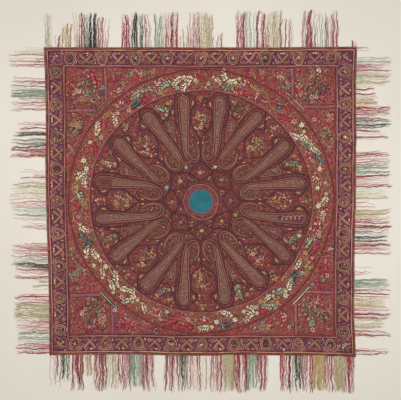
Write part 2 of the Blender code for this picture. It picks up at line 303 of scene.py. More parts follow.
# Twill: diagonal ribs, broken up by the uneven yarn, and a slow mottle where the dye took unevenly
tree, given, out = new_group(
    "twill", {"Place": [0.0, 0.0, 0.0], "Rib Pitch": 0.0014}, {"Height": 0.0, "Mottle": 0.0}
)
split = node(tree, "ShaderNodeSeparateXYZ", {"Vector": given["Place"]}).outputs
diagonal = reckon(tree, "ADD", split["X"], split["Y"])
slub = noise(tree, given["Place"], 420.0, 2.0)
ribs = reckon(tree, "ADD", diagonal, reckon(tree, "MULTIPLY", slub, 0.0006))
ribs = reckon(tree, "DIVIDE", ribs, given["Rib Pitch"])
wave = reckon(tree, "SINE", reckon(tree, "MULTIPLY", ribs, 2 * math.pi), 0.0)
tree.links.new(reckon(tree, "ADD", wave, slub), out["Height"])
tree.links.new(noise(tree, given["Place"], 14.0, 6.0), out["Mottle"])
twill = tree

# Small fill: tiny cells between the motifs, each with a random pick of its colour and the distance
# from its middle, where it stands highest
tree, given, out = new_group(
    "small_fill", {"Place": [0.0, 0.0, 0.0], "Cell Size": 0.008}, {"Pick": 0.0, "Middle": 0.0}
)
scale = reckon(tree, "DIVIDE", 1.0, given["Cell Size"])
cells = {"Vector": given["Place"], "Scale": scale, "Randomness": 0.9}
cells = node(tree, "ShaderNodeTexVoronoi", cells).outputs
picked = node(tree, "ShaderNodeSeparateColor", {"Color": cells["Color"]}).outputs["Red"]
tree.links.new(picked, out["Pick"])
tree.links.new(cells["Distance"], out["Middle"])
small_fill = tree

# The circles that hold the garland, by their radius in millimetres
INNER_CIRCLE = 665
OUTER_CIRCLE = 797
# The ground's colours, by how far out they start and by the cells that have them
FIELD_ZONES = (
    (0.0, (80, 39, 42)), (0.3, (92, 37, 43)), (INNER_CIRCLE * MM, (160, 96, 80)),
    (OUTER_CIRCLE * MM, (172, 78, 80)),
)
FIELD_FILL = (
    (0.0, (68, 32, 34)), (0.18, (118, 44, 50)), (0.38, (142, 72, 66)), (0.52, (80, 60, 46)),
    (0.64, (136, 44, 56)), (0.78, (64, 36, 48)), (0.88, (168, 106, 92)),
)

field_wool, tree, shader, place = new_material("field_wool", 0.9, 0.15)
far = node(tree, "ShaderNodeVectorMath", {0: place}, operation="LENGTH").outputs["Value"]
zones = patches(tree, far, FIELD_ZONES)
fill = use_group(tree, small_fill, {"Cell Size": 0.0085, "Place": place})
shade = blend_colours(tree, 0.64, zones, patches(tree, fill["Pick"], FIELD_FILL))
fine = use_group(tree, small_fill, {"Cell Size": 0.0032, "Place": place})
fine_colour = ramp(tree, fine["Pick"], ((0.0, srgb(96, 40, 36)), (1.0, srgb(176, 104, 90))))
shade = blend_colours(tree, 0.35, shade, fine_colour)
weave = use_group(tree, twill, {"Place": place})
uneven_dye = ramp(tree, weave["Mottle"], ((0.34, (0.80, 0.96, 0.84, 1)), (0.66, (1.16, 0.84, 1.0, 1))))
shade = blend_colours(tree, 1.0, shade, uneven_dye, "MULTIPLY")
dress(tree, shader, shade, reckon(tree, "SUBTRACT", weave["Height"], fine["Middle"]), 0.0004)

stations = even(-FIELD_HALF, FIELD_HALF, 0.0125)
field = flat_cloth("field_cloth", stations, stations)
bpy.ops.mesh.primitive_cylinder_add(vertices=96, radius=MOON_RADIUS + SEAM, depth=WALL * 10)
opening = bpy.context.object
cut = field.modifiers.new("opening", "BOOLEAN")
cut.object = opening
settle(field)
bpy.data.objects.remove(opening)
lay(field, 0.0)
field.data.materials.append(field_wool)
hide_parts("field")
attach(field, "root")


def plain_twill(name, roughness, sheen, rib_pitch, dyes, painted_rib_shades, relief):
    """A twill of one dye, a little uneven, with painted shade between its ribs and painted light on their
    tops.
    """
    wool, tree, shader, place = new_material(name, roughness, sheen)
    weave = use_group(tree, twill, {"Rib Pitch": rib_pitch, "Place": place})
    dyed = ramp(tree, weave["Mottle"], ((0.3, srgb(*dyes[0])), (0.7, srgb(*dyes[1]))))
    # Painted shade and light: the colour is darker where the ribs are low and lighter where they stand high
    painted_rib_shade = greys(tree, weave["Height"], 0.0, painted_rib_shades[0], 1.0, painted_rib_shades[1])
    dress(tree, shader, blend_colours(tree, 1.0, dyed, painted_rib_shade, "MULTIPLY"), weave["Height"], relief)
    return wool


# The moon: a plain round piece of blue-green twill. It is let into the opening at the middle of the
# ground and lies level with it.
MOON_DYES = ((34, 102, 114), (52, 122, 132))
# The moon's twill has painted shade between its ribs (0.82) and painted light on them (1.06)
moon_wool = plain_twill("moon_wool", 0.85, 0.2, 0.0018, MOON_DYES, (0.82, 1.06), 0.0004)

bpy.ops.mesh.primitive_cylinder_add(
    vertices=96, radius=MOON_RADIUS, depth=WALL, location=(0, 0, WALL / 2), end_fill_type="TRIFAN"
)
moon = bpy.context.object
moon.name = "moon_cloth"
moon.data.transform(moon.matrix_world)
moon.matrix_world.identity()
for layer in list(moon.data.uv_layers):
    moon.data.uv_layers.remove(layer)
lay(moon, 0.0)
moon.data.set_sharp_from_angle(angle=math.radians(40))
moon.data.materials.append(moon_wool)
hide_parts("moon")
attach(moon, "root")

# The border: four strips of purple-brown twill, sewn edge to edge with the ground. The top and bottom
# strips run over the ends of the other two.
BORDER_FILL = (
    (0.0, (66, 28, 40)), (0.28, (120, 52, 62)), (0.50, (84, 46, 94)),
    (0.66, (134, 60, 66)), (0.78, (78, 60, 50)), (0.88, (166, 94, 92)),
)
CELL = 0.0105  # the mesh's cells in the strips

border_wool, tree, shader, place = new_material("border_wool", 0.9, 0.15)
fill = use_group(tree, small_fill, {"Cell Size": 0.007, "Place": place})
shade = blend_colours(tree, 0.7, srgb(124, 62, 74), patches(tree, fill["Pick"], BORDER_FILL))
weave = use_group(tree, twill, {"Place": place})
uneven_dye = greys(tree, weave["Mottle"], 0.3, 0.8, 0.7, 1.2)
shade = blend_colours(tree, 1.0, shade, uneven_dye, "MULTIPLY")
dress(tree, shader, shade, reckon(tree, "SUBTRACT", weave["Height"], fill["Middle"]), 0.0004)


def four_strips(name, whole, inner, band, wool, mitres=(None, None)):
    """The strips of the four sides. The top and bottom ones have the whole length."""
    far_band = -band[::-1]
    strips = {
        "top": flat_cloth(name.format("top"), whole, band, mitres[0]),
        "bottom": flat_cloth(name.format("bottom"), whole, far_band, mitres[0]),
        "right": flat_cloth(name.format("right"), band, inner, mitres[1]),
        "left": flat_cloth(name.format("left"), far_band, inner, mitres[1]),
    }
    for strip in strips.values():
        settle(strip)
        lay(strip, 0.0)
        strip.data.materials.append(wool)
    return strips


whole = even(-BINDING_HALF, BINDING_HALF, CELL)
inner = even(-FIELD_HALF, FIELD_HALF, CELL)
band = even(FIELD_HALF + SEAM, BINDING_HALF, CELL)
borders = four_strips("border_{}_cloth", whole, inner, band, border_wool)
for side, strip in borders.items():
    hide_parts(f"border_{side}")
    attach(strip, "root")
    length = BINDING_HALF * 2 if side in ("top", "bottom") else FIELD_HALF * 2

# The binding: a narrow red-brown tape round the shawl, mitred at the corners. The threads of the
# fringe hang from it.
BINDING_DYES = ((96, 44, 40), (134, 66, 56))
# The binding's twill has painted shade between its ribs (0.75) and painted light on them (1.1)
binding_wool = plain_twill("binding_wool", 0.88, 0.15, 0.0022, BINDING_DYES, (0.75, 1.1), 0.0005)
along = even(-SIDE / 2, SIDE / 2, CELL)
tape = np.array((BINDING_HALF + SEAM, SIDE / 2 - 0.010, SIDE / 2))
bindings = four_strips("binding_{}", along, along, tape, binding_wool, ("across", "along"))
for side, strip in bindings.items():
    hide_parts(f"fringe_{side}")
    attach(strip, "root")

# The lines of the wheel: couched cords of dark and purple wool. Two circles hold the garland, and
# eight spokes branch into a star round the moon.
DYES = {
    "bark": (74, 38, 36),
    "wine": (98, 38, 46),
    "russet": (106, 58, 50),
    "madder": (136, 52, 52),
    "crimson": (186, 32, 62),
    "brick": (160, 84, 66),
    "rose": (156, 100, 92),
    "clay": (156, 108, 94),
    "pink": (184, 126, 114),
    "blush": (216, 164, 146),
    "magenta": (178, 38, 92),
    "mauve": (142, 84, 100),
    "plum": (84, 40, 60),
    "mulberry": (98, 42, 76),
    "violet": (76, 56, 92),
    "umber": (134, 91, 80),
    "tan": (162, 124, 100),
    "sand": (184, 146, 102),
    "bronze": (136, 100, 74),
    "olive": (104, 92, 62),
    "forest": (58, 72, 50),
    "sage": (138, 146, 118),
    "mist": (110, 136, 150),
    "teal": (20, 82, 96),
    "celadon": (172, 186, 160),
    "cream": (230, 218, 190),
    "straw": (208, 182, 132),
    "gold": (200, 156, 84),
    "ochre": (186, 118, 60),
    "ink": (38, 28, 26),
}

# Dyed wool: the thread's own dye with the stitches' shine and shade across it, darker along a rim
tree, given, out = new_group(
    "wool_stitch",
    {"Dye": (0.5, 0.5, 0.5, 1.0), "Rim": 0.0, "Place": [0.0, 0.0, 0.0]},
    {"Colour": (0.5, 0.5, 0.5, 1.0), "Height": 0.0},
)
thread = noise(tree, given["Place"], 700.0, 2.0)
fade = noise(tree, given["Place"], 60.0, 3.0)
depth = greys(tree, reckon(tree, "MULTIPLY", reckon(tree, "ADD", thread, fade), 0.5), 0.3, 0.62, 0.7, 1.3)
shaded = blend_colours(tree, 1.0, given["Dye"], depth, "MULTIPLY")
rim = ramp(tree, given["Rim"], ((0.66, (1, 1, 1, 1)), (0.88, (0.36, 0.28, 0.28, 1))))
tree.links.new(blend_colours(tree, 1.0, shaded, rim, "MULTIPLY"), out["Colour"])
tree.links.new(thread, out["Height"])
wool_stitch = tree

stitch_wool, tree, shader, place = new_material("stitch_wool", 0.75, 0.25)
dye = node(tree, "ShaderNodeAttribute", attribute_name="dye").outputs["Color"]
rim = node(tree, "ShaderNodeAttribute", attribute_name="rim").outputs["Fac"]
stitch = use_group(tree, wool_stitch, {"Dye": dye, "Rim": rim, "Place": place})
dress(tree, shader, stitch["Colour"], stitch["Height"], 0.0003)


def geometry_tree(name, inputs):
    """A Geometry Nodes tree with a geometry in and out and its named inputs, of the kinds given."""
    made = bpy.data.node_groups.new(name, "GeometryNodeTree")
    made.interface.new_socket(name="Geometry", in_out="INPUT", socket_type="NodeSocketGeometry")
    for label, kind in inputs.items():
        made.interface.new_socket(name=label, in_out="INPUT", socket_type="NodeSocket" + kind)
    made.interface.new_socket(name="Geometry", in_out="OUTPUT", socket_type="NodeSocketGeometry")
    return made, made.nodes.new("NodeGroupInput").outputs, made.nodes.new("NodeGroupOutput").inputs


def mark(mesh, label, values, kind="FLOAT"):
    """Give every point of a mesh its own value, which its tree reads."""
    part = {"FLOAT_VECTOR": "vector", "FLOAT_COLOR": "color"}.get(kind, "value")
    row = np.asarray(values, bool if kind == "BOOLEAN" else np.float32).ravel()
    mesh.attributes.new(label, kind, "POINT").data.foreach_set(part, row)


def grow(piece, tree, values):
    """Put a tree on a piece, set its named inputs and keep the result as a plain mesh."""
    modifier = piece.modifiers.new(tree.name, "NODES")
    modifier.node_group = tree
    for item in tree.interface.items_tree:
        if item.in_out == "INPUT" and item.name in values:
            modifier[item.identifier] = values[item.name]
    piece.update_tag()
    settle(piece)
    for label in ("gauge", "rise", "turn", "length", "base", "is_leaf", "own", "sway"):
        used = piece.data.attributes.get(label)
        if used:
            piece.data.attributes.remove(used)


def named(tree, name, kind="FLOAT"):
    """An attribute of the drawn points."""
    made = node(tree, "GeometryNodeInputNamedAttribute", {"Name": name}, data_type=kind)
    return made.outputs["Attribute"]


def drawn_turn(tree):
    """The way that a drawn point turns what grows on it."""
    turn = flow(tree, "ShaderNodeCombineXYZ", {"Z": named(tree, "turn")})
    return flow(tree, "FunctionNodeEulerToRotation", {0: turn})


def end_tree(tree, given, out, geometry):
    """The end of a tree: all it made as plain geometry, with its wool."""
    geometry = flow(tree, "GeometryNodeRealizeInstances", {"Geometry": geometry})
    sewn = flow(tree, "GeometryNodeSetMaterial", {"Geometry": geometry, "Material": given["Wool"]})
    tree.links.new(sewn, out["Geometry"])


# Needlework: drawn edges become couched cords, and drawn loose points become satin leaves. Each has
# its own height, and a base that it is worked on.
inputs = {"Cord Section": "Object", "Leaf": "Object", "Wool": "Material"}
tree, given, out = geometry_tree("needlework", inputs)
cords = flow(tree, "GeometryNodeMeshToCurve", {"Mesh": given["Geometry"]})
cords = flow(tree, "GeometryNodeSetCurveNormal", {"Curve": cords}, mode="Z_UP")
section = node(tree, "GeometryNodeObjectInfo", {"Object": given["Cord Section"]}).outputs["Geometry"]
section = flow(tree, "GeometryNodeMeshToCurve", {"Mesh": section})
swept = {"Curve": cords, "Profile Curve": section, "Scale": named(tree, "gauge")}
swept = flow(tree, "GeometryNodeCurveToMesh", swept)
spot = flow(tree, "GeometryNodeInputPosition")
spot = node(tree, "ShaderNodeSeparateXYZ", {"Vector": spot}).outputs
slope = reckon(tree, "DIVIDE", named(tree, "rise"), named(tree, "gauge"))
height = reckon(tree, "MULTIPLY", spot["Z"], slope)
spot = flow(tree, "ShaderNodeCombineXYZ", {"X": spot["X"], "Y": spot["Y"], "Z": height})
swept = flow(tree, "GeometryNodeSetPosition", {"Geometry": swept, "Position": spot})
sizes = {"X": named(tree, "length"), "Y": named(tree, "gauge"), "Z": named(tree, "rise")}
leaves = {
    "Points": given["Geometry"],
    "Selection": named(tree, "is_leaf", "BOOLEAN"),
    "Instance": node(tree, "GeometryNodeObjectInfo", {"Object": given["Leaf"]}).outputs["Geometry"],
    "Rotation": drawn_turn(tree),
    "Scale": flow(tree, "ShaderNodeCombineXYZ", sizes),
}
leaves = flow(tree, "GeometryNodeInstanceOnPoints", leaves)
leaves = flow(tree, "GeometryNodeRealizeInstances", {"Geometry": leaves})
joined = node(tree, "GeometryNodeJoinGeometry")
tree.links.new(leaves, joined.inputs[0])
tree.links.new(swept, joined.inputs[0])
base = flow(tree, "ShaderNodeCombineXYZ", {"Z": named(tree, "base")})
raised = flow(tree, "GeometryNodeSetPosition", {"Geometry": joined.outputs[0], "Offset": base})
end_tree(tree, given, out, raised)
needlework = tree

cord_section = bpy.data.meshes.new("cord_section")
cord_section.from_pydata(
    [(1, 0.15, 0), (0.62, -1, 0), (-0.62, -1, 0), (-1, 0.15, 0)], [(0, 1), (1, 2), (2, 3)], []
)
cord_section = new_piece("cord_section", cord_section)


def leaf_form(name, outline):
    """A domed leaf over its outline, which tells its material where its rim is."""
    mesh = bpy.data.meshes.new(name)
    count = len(outline)
    faces = [(k, (k + 1) % count, count) for k in range(count)]
    mesh.from_pydata([(x, y, -0.15) for x, y in outline] + [(0, 0, 1)], [], faces)
    mark(mesh, "rim", [1.0] * count + [0.0])
    return new_piece(name, mesh)


LEAF = [(1, 0), (0.42, 0.86), (-0.42, 0.86), (-1, 0), (-0.42, -0.86), (0.42, -0.86)]
leaf_whole = leaf_form("leaf", LEAF)
leaf_small = leaf_form("small_leaf", [(1, 0), (0, 1), (-1, 0), (0, -1)])

chance = random.Random(11)
draw = chance.uniform


def pick(options):
    """One of these, at random. Dyes may be given as one string of their names."""
    return chance.choice(options.split() if isinstance(options, str) else options)


def dye_sets(text):
    """A table of dyes that go together, from a string with a comma between the sets."""
    return [row.split() for row in text.split(", ")]


def any_turn():
    """A random way for a leaf to lie."""
    return draw(0, 3.1)


def by_turns(dyes, least, most, count=220):
    """Dyes that take turns along a line, in uneven stretches of so many points."""
    run = []
    while len(run) < count:
        run += [pick(dyes)] * chance.randint(least, most)
    return run


def smooth(points, spacing):
    """Points about that far apart on a smooth curve through the given ones, of any number of values."""
    path = np.array(points, float)
    padded = np.vstack((2 * path[0] - path[1], path, 2 * path[-1] - path[-2]))
    run = [path[0]]
    for before, start, end, after in zip(padded, padded[1:], padded[2:], padded[3:]):
        steps = max(1, round(np.hypot(*(end - start)[:2]) / spacing))
        for k in range(1, steps + 1):
            t = k / steps
            bend = 2 * before - 5 * start + 4 * end - after
            twist = 3 * start - before - 3 * end + after
            run.append(start + ((end - before) * t + bend * t * t + twist * t**3) / 2)
    return np.array(run)


def hand(u, v):
    """The small waver of a design that was drawn by hand."""
    shift_u = 2.4 * math.sin(9 * v + 1.3) + 1.6 * math.sin(23 * u + 31 * v)
    shift_v = 2.4 * math.sin(8 * u + 0.4) + 1.6 * math.sin(29 * u - 21 * v + 2.0)
    return u + shift_u * MM, v + shift_v * MM


# How far each spoke's two paisleys stray from the even drawing, to its right and then to its left
# seen from the middle: the round end's shift outwards and aside, and the hook's, in millimetres
PAISLEY_DRIFT = (
    ((6, 0, 6, 1), (14, -8, 6, -5)),
    ((-3, 6, -1, 8), (0, 6, -3, 10)),
    ((7, -12, 3, -5), (0, 0, 3, -2)),
    ((-4, -21, -8, -5), (-3, 20, -7, 15)),
    ((-2, -6, 3, -3), (-6, 31, 3, 5)),
    ((5, 10, -5, 8), (1, 7, -7, 5)),
    ((5, 1, 6, 1), (6, -7, -7, 1)),
    ((-16, 22, -9, 7), (-9, -14, -3, 14)),
)


def spoke(number, out, aside):
    """The place of a point that is out along one of eight spokes and aside from it, in millimetres."""
    if number in range(8):
        head_out, head_aside, hook_out, hook_aside = PAISLEY_DRIFT[int(number)][int(aside > 0)]
        head = min(1.0, max(0.0, (out - 240) / 355))
        weight = min(1.0, abs(aside) / 45) * min(1.0, max(0.0, (664 - out) / 24))
        weight *= min(1.0, max(0.0, (out - 120) / 90))
        out += weight * (hook_out + (head_out - hook_out) * head)
        aside += (1 if aside > 0 else -1) * weight * (hook_aside + (head_aside - hook_aside) * head)
    turn = math.radians(90 - 45 * number)
    out, aside = out * MM, aside * MM
    return hand(out * math.cos(turn) - aside * math.sin(turn), out * math.sin(turn) + aside * math.cos(turn))


def way_out(number, lean=0.0):
    """The direction along a spoke as an angle, leaning by some degrees."""
    return math.radians(90 - 45 * number + lean)


def along_spoke(number, points, side=1):
    """The places of points that are given out along a spoke and aside from it, to one side."""
    return [spoke(number, point[0], point[1] * side) for point in points]


def off(place, angle, reach):
    """The place that lies some millimetres off another one, in a direction."""
    return place[0] + reach * MM * math.cos(angle), place[1] + reach * MM * math.sin(angle)


class Needlework:
    """Cords and leaves that are drawn flat and then sewn on as one piece."""

    def __init__(self, base=0.0):
        self.points = []
        self.edges = []
        self.base = base

    def add(self, u, v, gauge, rise, dye, turn=0.0, length=0.0, is_leaf=False, shade=1.0):
        """A drawn point, with all that its cord or its leaf needs."""
        colour = [channel * shade for channel in srgb(*DYES[dye])[:3]]
        form = (gauge * MM, rise * MM, turn, length * MM, self.base * MM, is_leaf)
        self.points.append((u, v, *form, *colour))

    def cord(self, points, gauge, dye, rise=0.9, closed=False, shade=1.0):
        """A couched cord along points. Its half width and its dye may be given for each point."""
        first = len(self.points)
        for k, (u, v) in enumerate(points):
            own_gauge = gauge if np.isscalar(gauge) else gauge[k]
            own_dye = dye if isinstance(dye, str) else dye[k % len(dye)]
            self.add(u, v, own_gauge, rise, own_dye, shade=shade)
        last = len(self.points) - 1
        self.edges += [(k, k + 1) for k in range(first, last)]
        if closed:
            self.edges.append((last, first))

    def couched(self, points, gauge, dye):
        """A raised cord over a wider dark one, which shows at both of its sides."""
        self.cord(points, gauge + 2.6, "bark", 0.4)
        self.cord(points, gauge, dye, 1.0)

    def leaf(self, u, v, turn, length, breadth, dye, rise=0.8, shade=None):
        """One satin leaf, drawn by its half length and half breadth."""
        shade = draw(0.82, 1.18) if shade is None else shade
        self.add(u, v, breadth, rise, dye, turn, length, True, shade)

    def edged(self, u, v, turn, length, breadth, dye, rise=1.1, shade=None):
        """A satin leaf over a wider one of ink, which shows as a dark rim."""
        self.leaf(u, v, turn, length * 1.12 + 1.2, breadth * 1.2 + 1.4, "ink", 0.6)
        self.leaf(u, v, turn, length, breadth, dye, rise, shade)

    def petals(self, u, v, size, dye, count, turn, rise):
        """A ring of petals. The size is its radius."""
        for k in range(count):
            angle = turn + 2 * math.pi * k / count
            spot = off((u, v), angle, size * 0.55)
            self.leaf(*spot, angle, size * 0.5, size * min(0.42, 2.1 / count), dye, rise)

    def floret(self, u, v, size, dye, heart, count=5, turn=0.0, rise=1.0):
        """A small flower: petals round a heart. The size is its radius."""
        self.petals(u, v, size, dye, count, turn, rise)
        self.leaf(u, v, turn, size * 0.3, size * 0.3, heart, rise + 0.3)

    def blossom(self, u, v, size, dye, inner, heart, turn=0.0):
        """A large flower: dark leaves behind, a ring of petals, an inner ring and a heart."""
        self.petals(u, v, size * 1.22, "ink", 6, turn + 0.4, 0.6)
        self.petals(u, v, size, dye, 7, turn, 1.1)
        self.petals(u, v, size * 0.56, inner, 5, turn + 0.3, 1.5)
        self.leaf(u, v, turn, size * 0.18, size * 0.18, heart, 1.9)

    def bunch(self, u, v, size, dyes, turn):
        """A blossom with leaves, smaller flowers and dark gaps round it. The size is its radius."""
        first, second, third = dyes
        dull = ("olive", "bronze", "ink", "wine", "bronze", "bark", "brick", *dyes, "plum")
        for k in range(18):
            angle = turn + draw(0, 6.28)
            reach = size * draw(0.35, 1.0)
            dye = pick(dull)
            lean = angle + draw(-0.8, 0.8)
            form = (size * draw(0.22, 0.42), size * draw(0.11, 0.18))
            self.leaf(*off((u, v), angle, reach), lean, *form, dye, 0.8)
        for k in range(2):
            angle = turn + 2.094 * k + draw(-0.5, 0.5)
            reach = size * draw(0.6, 0.8)
            dye, heart = pick(((second, "ink"), (third, "crimson"), (first, "ink")))
            self.floret(*off((u, v), angle, reach), size * draw(0.18, 0.28), dye, heart, 5, angle)
        self.blossom(u, v, size * 0.4, first, second, pick("crimson ink brick"), turn)

    def spray(self, u, v, size, dye, inner, turn, shade=1.0):
        """A flowering branch: a bent stem with a blossom at its foot and leaves that shrink to its bud."""
        bend = draw(-0.7, 0.7)
        way_u, way_v = math.cos(turn), math.sin(turn)

        def stem(t):
            """A place on the stem and the way it runs there."""
            up, aside = t * size * MM, bend * size * MM * (0.3 - t * t)
            way = turn - math.atan(2 * bend * t)
            return u + up * way_u - aside * way_v, v + up * way_v + aside * way_u, way

        self.cord([stem(t)[:2] for t in np.linspace(-0.6, 0.85, 6)], size * 0.04, "bronze", shade=shade)
        for k in range(9):
            *spot, way = stem(-0.3 + 0.13 * k)
            long = size * (0.33 - 0.016 * k) * draw(0.85, 1.1)
            lean = way + (1 if k % 2 else -1) * draw(0.65, 1.05)
            leaf_dye = dye if chance.random() < 0.8 else inner
            self.edged(*off(spot, lean, long * 0.85), lean, long, long * 0.48, leaf_dye, 1.1, shade)
        *spot, way = stem(-0.5)
        self.blossom(*spot, size * 0.3, inner, dye, "crimson", way)
        self.leaf(*stem(0.95), size * 0.17, size * 0.08, inner, 1.2)

    def strew(self, middle, spread, count, dyes, size):
        """Small florets and leaves strewn round a place."""
        for k in range(count):
            angle, reach = draw(0, 6.28), spread * math.sqrt(chance.random())
            spot = off(middle, angle, reach)
            dye = pick(dyes)
            if chance.random() < 0.4:
                self.floret(*spot, size * draw(0.7, 1.2), dye, pick("ink gold crimson"), 5, angle)
            else:
                self.leaf(*spot, any_turn(), size * draw(0.7, 1.3), size * 0.42, dye, 0.9)

    def sew(self, name, leaf_shape=None):
        """The finished piece, laid on the cloth."""
        mesh = bpy.data.meshes.new(name)
        values = np.array(self.points, float)
        flat = np.column_stack((values[:, :2], np.zeros(len(values))))
        mesh.from_pydata(flat.tolist(), self.edges, [])
        for k, label in enumerate(("gauge", "rise", "turn", "length", "base"), 2):
            mark(mesh, label, values[:, k])
        mark(mesh, "is_leaf", values[:, 7] > 0.5, "BOOLEAN")
        mark(mesh, "dye", np.column_stack((values[:, 8:11], np.ones(len(values)))), "FLOAT_COLOR")
        piece = new_piece(name, mesh)
        forms = {"Cord Section": cord_section, "Leaf": leaf_shape or leaf_whole, "Wool": stitch_wool}
        grow(piece, needlework, forms)
        lay(piece)
        return piece


def ring(radius, middle=(0.0, 0.0), steps=None, pinch=0.0, towards=0.0):
    """Points round a circle in millimetres, drawn out into a blunt point on one side where it is pinched."""
    steps = steps or max(12, round(radius * 0.8))
    places = []
    for k in range(steps):
        angle = 2 * math.pi * k / steps
        swell = 1 + pinch * max(0.0, math.cos(angle - towards)) ** 4
        places.append(off(middle, angle, radius * swell))
    return places


def hand_ring(radius):
    """A large circle with the waver of the hand in it."""
    return [hand(u, v) for u, v in ring(radius, steps=round(radius * 0.5))]


LINE_DYES = "plum plum mulberry bark wine bark"
# The curves of the star, out along a spoke and aside from it in millimetres. The shoulder runs up the
# inner side of a paisley, round its end and down its back.
KITE = ((241, 0), (207, 36), (172, 71), (148, 38), (125, 0))
SHOULDER = (
    (373, 0), (400, 22), (428, 46), (452, 64), (500, 70), (541, 66), (556, 50), (566, 35), (582, 32),
    (600, 45), (626, 70), (646, 95), (652, 115), (644, 142), (620, 162), (580, 168), (530, 167), (480, 157),
    (430, 143),
)
CHEVRON = ((531, 0), (552, 26), (578, 50), (604, 62))
work = Needlework()
for radius, gauge, dye in (
    (OUTER_CIRCLE, 4.0, "wine"), (788, 2.0, "madder"), (INNER_CIRCLE, 4.0, "wine"), (673, 2.0, "rose")
):
    work.cord(hand_ring(radius), gauge, dye, closed=True)
for number in range(8):
    between = number + 0.5
    for side in (-1, 1):
        for where, curve, spacing, gauge, least, most in (
            (number, KITE, 12, 3.2, 3, 8),
            (number, SHOULDER, 9, 3.4, 4, 12),
            (between, CHEVRON, 10, 2.6, 3, 8),
        ):
            drawn = along_spoke(where, smooth(curve, spacing), side)
            work.couched(drawn, gauge, by_turns(LINE_DYES, least, most))
    work.couched(along_spoke(number, [(out, 0) for out in range(241, 374, 12)]), 3.8, "plum")
    wedge = along_spoke(between, [(out, 0) for out in range(394, 508, 8)])
    widths = [max(1.0, (k - 0.3) * 1.85) for k in range(len(wedge))]
    work.cord(wedge, widths, "umber", 0.4, shade=0.72)
    for inset, gauge, dye in ((-5, 2.2, "bark"), (0, 2.4, "rose"), (5, 1.8, "bark")):
        half = ((386 + 4 * inset, 0), (448, 14 - inset), (505 - inset, 29 - inset), (514 - inset, 0))
        drawn = smooth([*half, *((out, -aside) for out, aside in half[2::-1])], 9)
        work.cord(along_spoke(between, drawn), gauge, dye)
# The rings round the moon, the two outer ones with a slack bulge below it
for radius, gauge, dye, slack in (
    (74, 3.0, "mauve", 0.0),
    (80, 2.2, "wine", 0.0),
    (85, 1.5, "clay", 0.0),
    (103, 2.8, "rose", 0.09),
    (109.5, 2.4, "bark", 0.09),
):
    work.cord(ring(radius, pinch=slack, towards=-1.15), gauge, dye, 1.0, closed=True)
for k in range(30):
    angle = 2 * math.pi * k / 30
    work.leaf(*off((0, 0), angle, 93.5), angle + 0.7, 7.5, 4.2, ("plum", "violet", "mauve")[k % 3])
wheel_lines = work.sew("wheel_lines")
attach(wheel_lines, "root")

# The paisleys: sixteen long hooked ones in pairs, worked in dull brown and rose between couched
# outlines. Each has a drop of small flowers in its hook.

# The spine of one paisley: how far out along its spoke, how far aside and its half width, in
# millimetres, from its round end to the tip of its hook. The drop's rows say the same.
SPINE = (
    (595, 112, 33), (550, 111, 33), (502, 108, 29.5), (452, 104.5, 25.5), (392, 99.5, 21.7),
    (335, 95.5, 18.7), (288, 90, 15.7), (258, 77, 13.2), (240, 56, 10.8), (243, 33, 8.2),
    (262, 17.5, 6.0), (293, 13, 4.6), (328, 21, 3.6), (358, 38, 2.9), (380, 56, 2.3),
)
DROP = (
    (256, 46, 6), (268, 46, 17), (290, 46, 25), (328, 50, 22), (358, 59, 14), (380, 68, 6), (392, 74, 1.5),
)
HEAD_OUT, HEAD_ASIDE, HEAD_RADIUS = SPINE[0]
SPECKLE = "rose pink mauve bark olive madder blush umber wine ink"

# The paisley with a scroll, the reddened one and how far out their own colours start
SCROLLED, SCROLLED_FROM = (2, -1), 450
REDDENED, REDDENED_FROM = (6, -1), 530
SCROLLED_SPECKLE = "mulberry rose crimson plum violet"
RED_SPECKLE = "bark wine madder ink rose crimson"
BROWN_SPECKLE = "bronze brick ochre russet"
DROP_DYES = "olive ink bark rose tan crimson bronze bark umber russet"
DROP_FLOWERS = dye_sets("rose brick, umber crimson, bronze tan, clay russet, brick tan")


def paisley_side(spine, inset, side):
    """One side of the paisley's outline, moved in by the inset."""
    way = np.gradient(spine[:, :2], axis=0)
    way /= np.hypot(way[:, 0], way[:, 1])[:, None]
    keep = spine[:, 2] - inset > 0.6
    reach = ((spine[:, 2] - inset) * side)[keep]
    return spine[keep, :2] + np.column_stack((way[keep, 1], -way[keep, 0])) * reach[:, None]


def round_end(inset, start, end, count):
    """The arc over the paisley's round end, moved in by the inset."""
    radius = HEAD_RADIUS - inset
    arc = np.linspace(start, end, count)
    return [(HEAD_OUT + radius * math.sin(a), HEAD_ASIDE - radius * math.cos(a)) for a in arc]


def paisley_outline(spine, inset):
    """The paisley's closed outline, moved in by the inset."""
    back, front = paisley_side(spine, inset, 1), paisley_side(spine, inset, -1)
    return np.vstack((front[::-1], round_end(inset, 0.25, 2.89, 10), back))


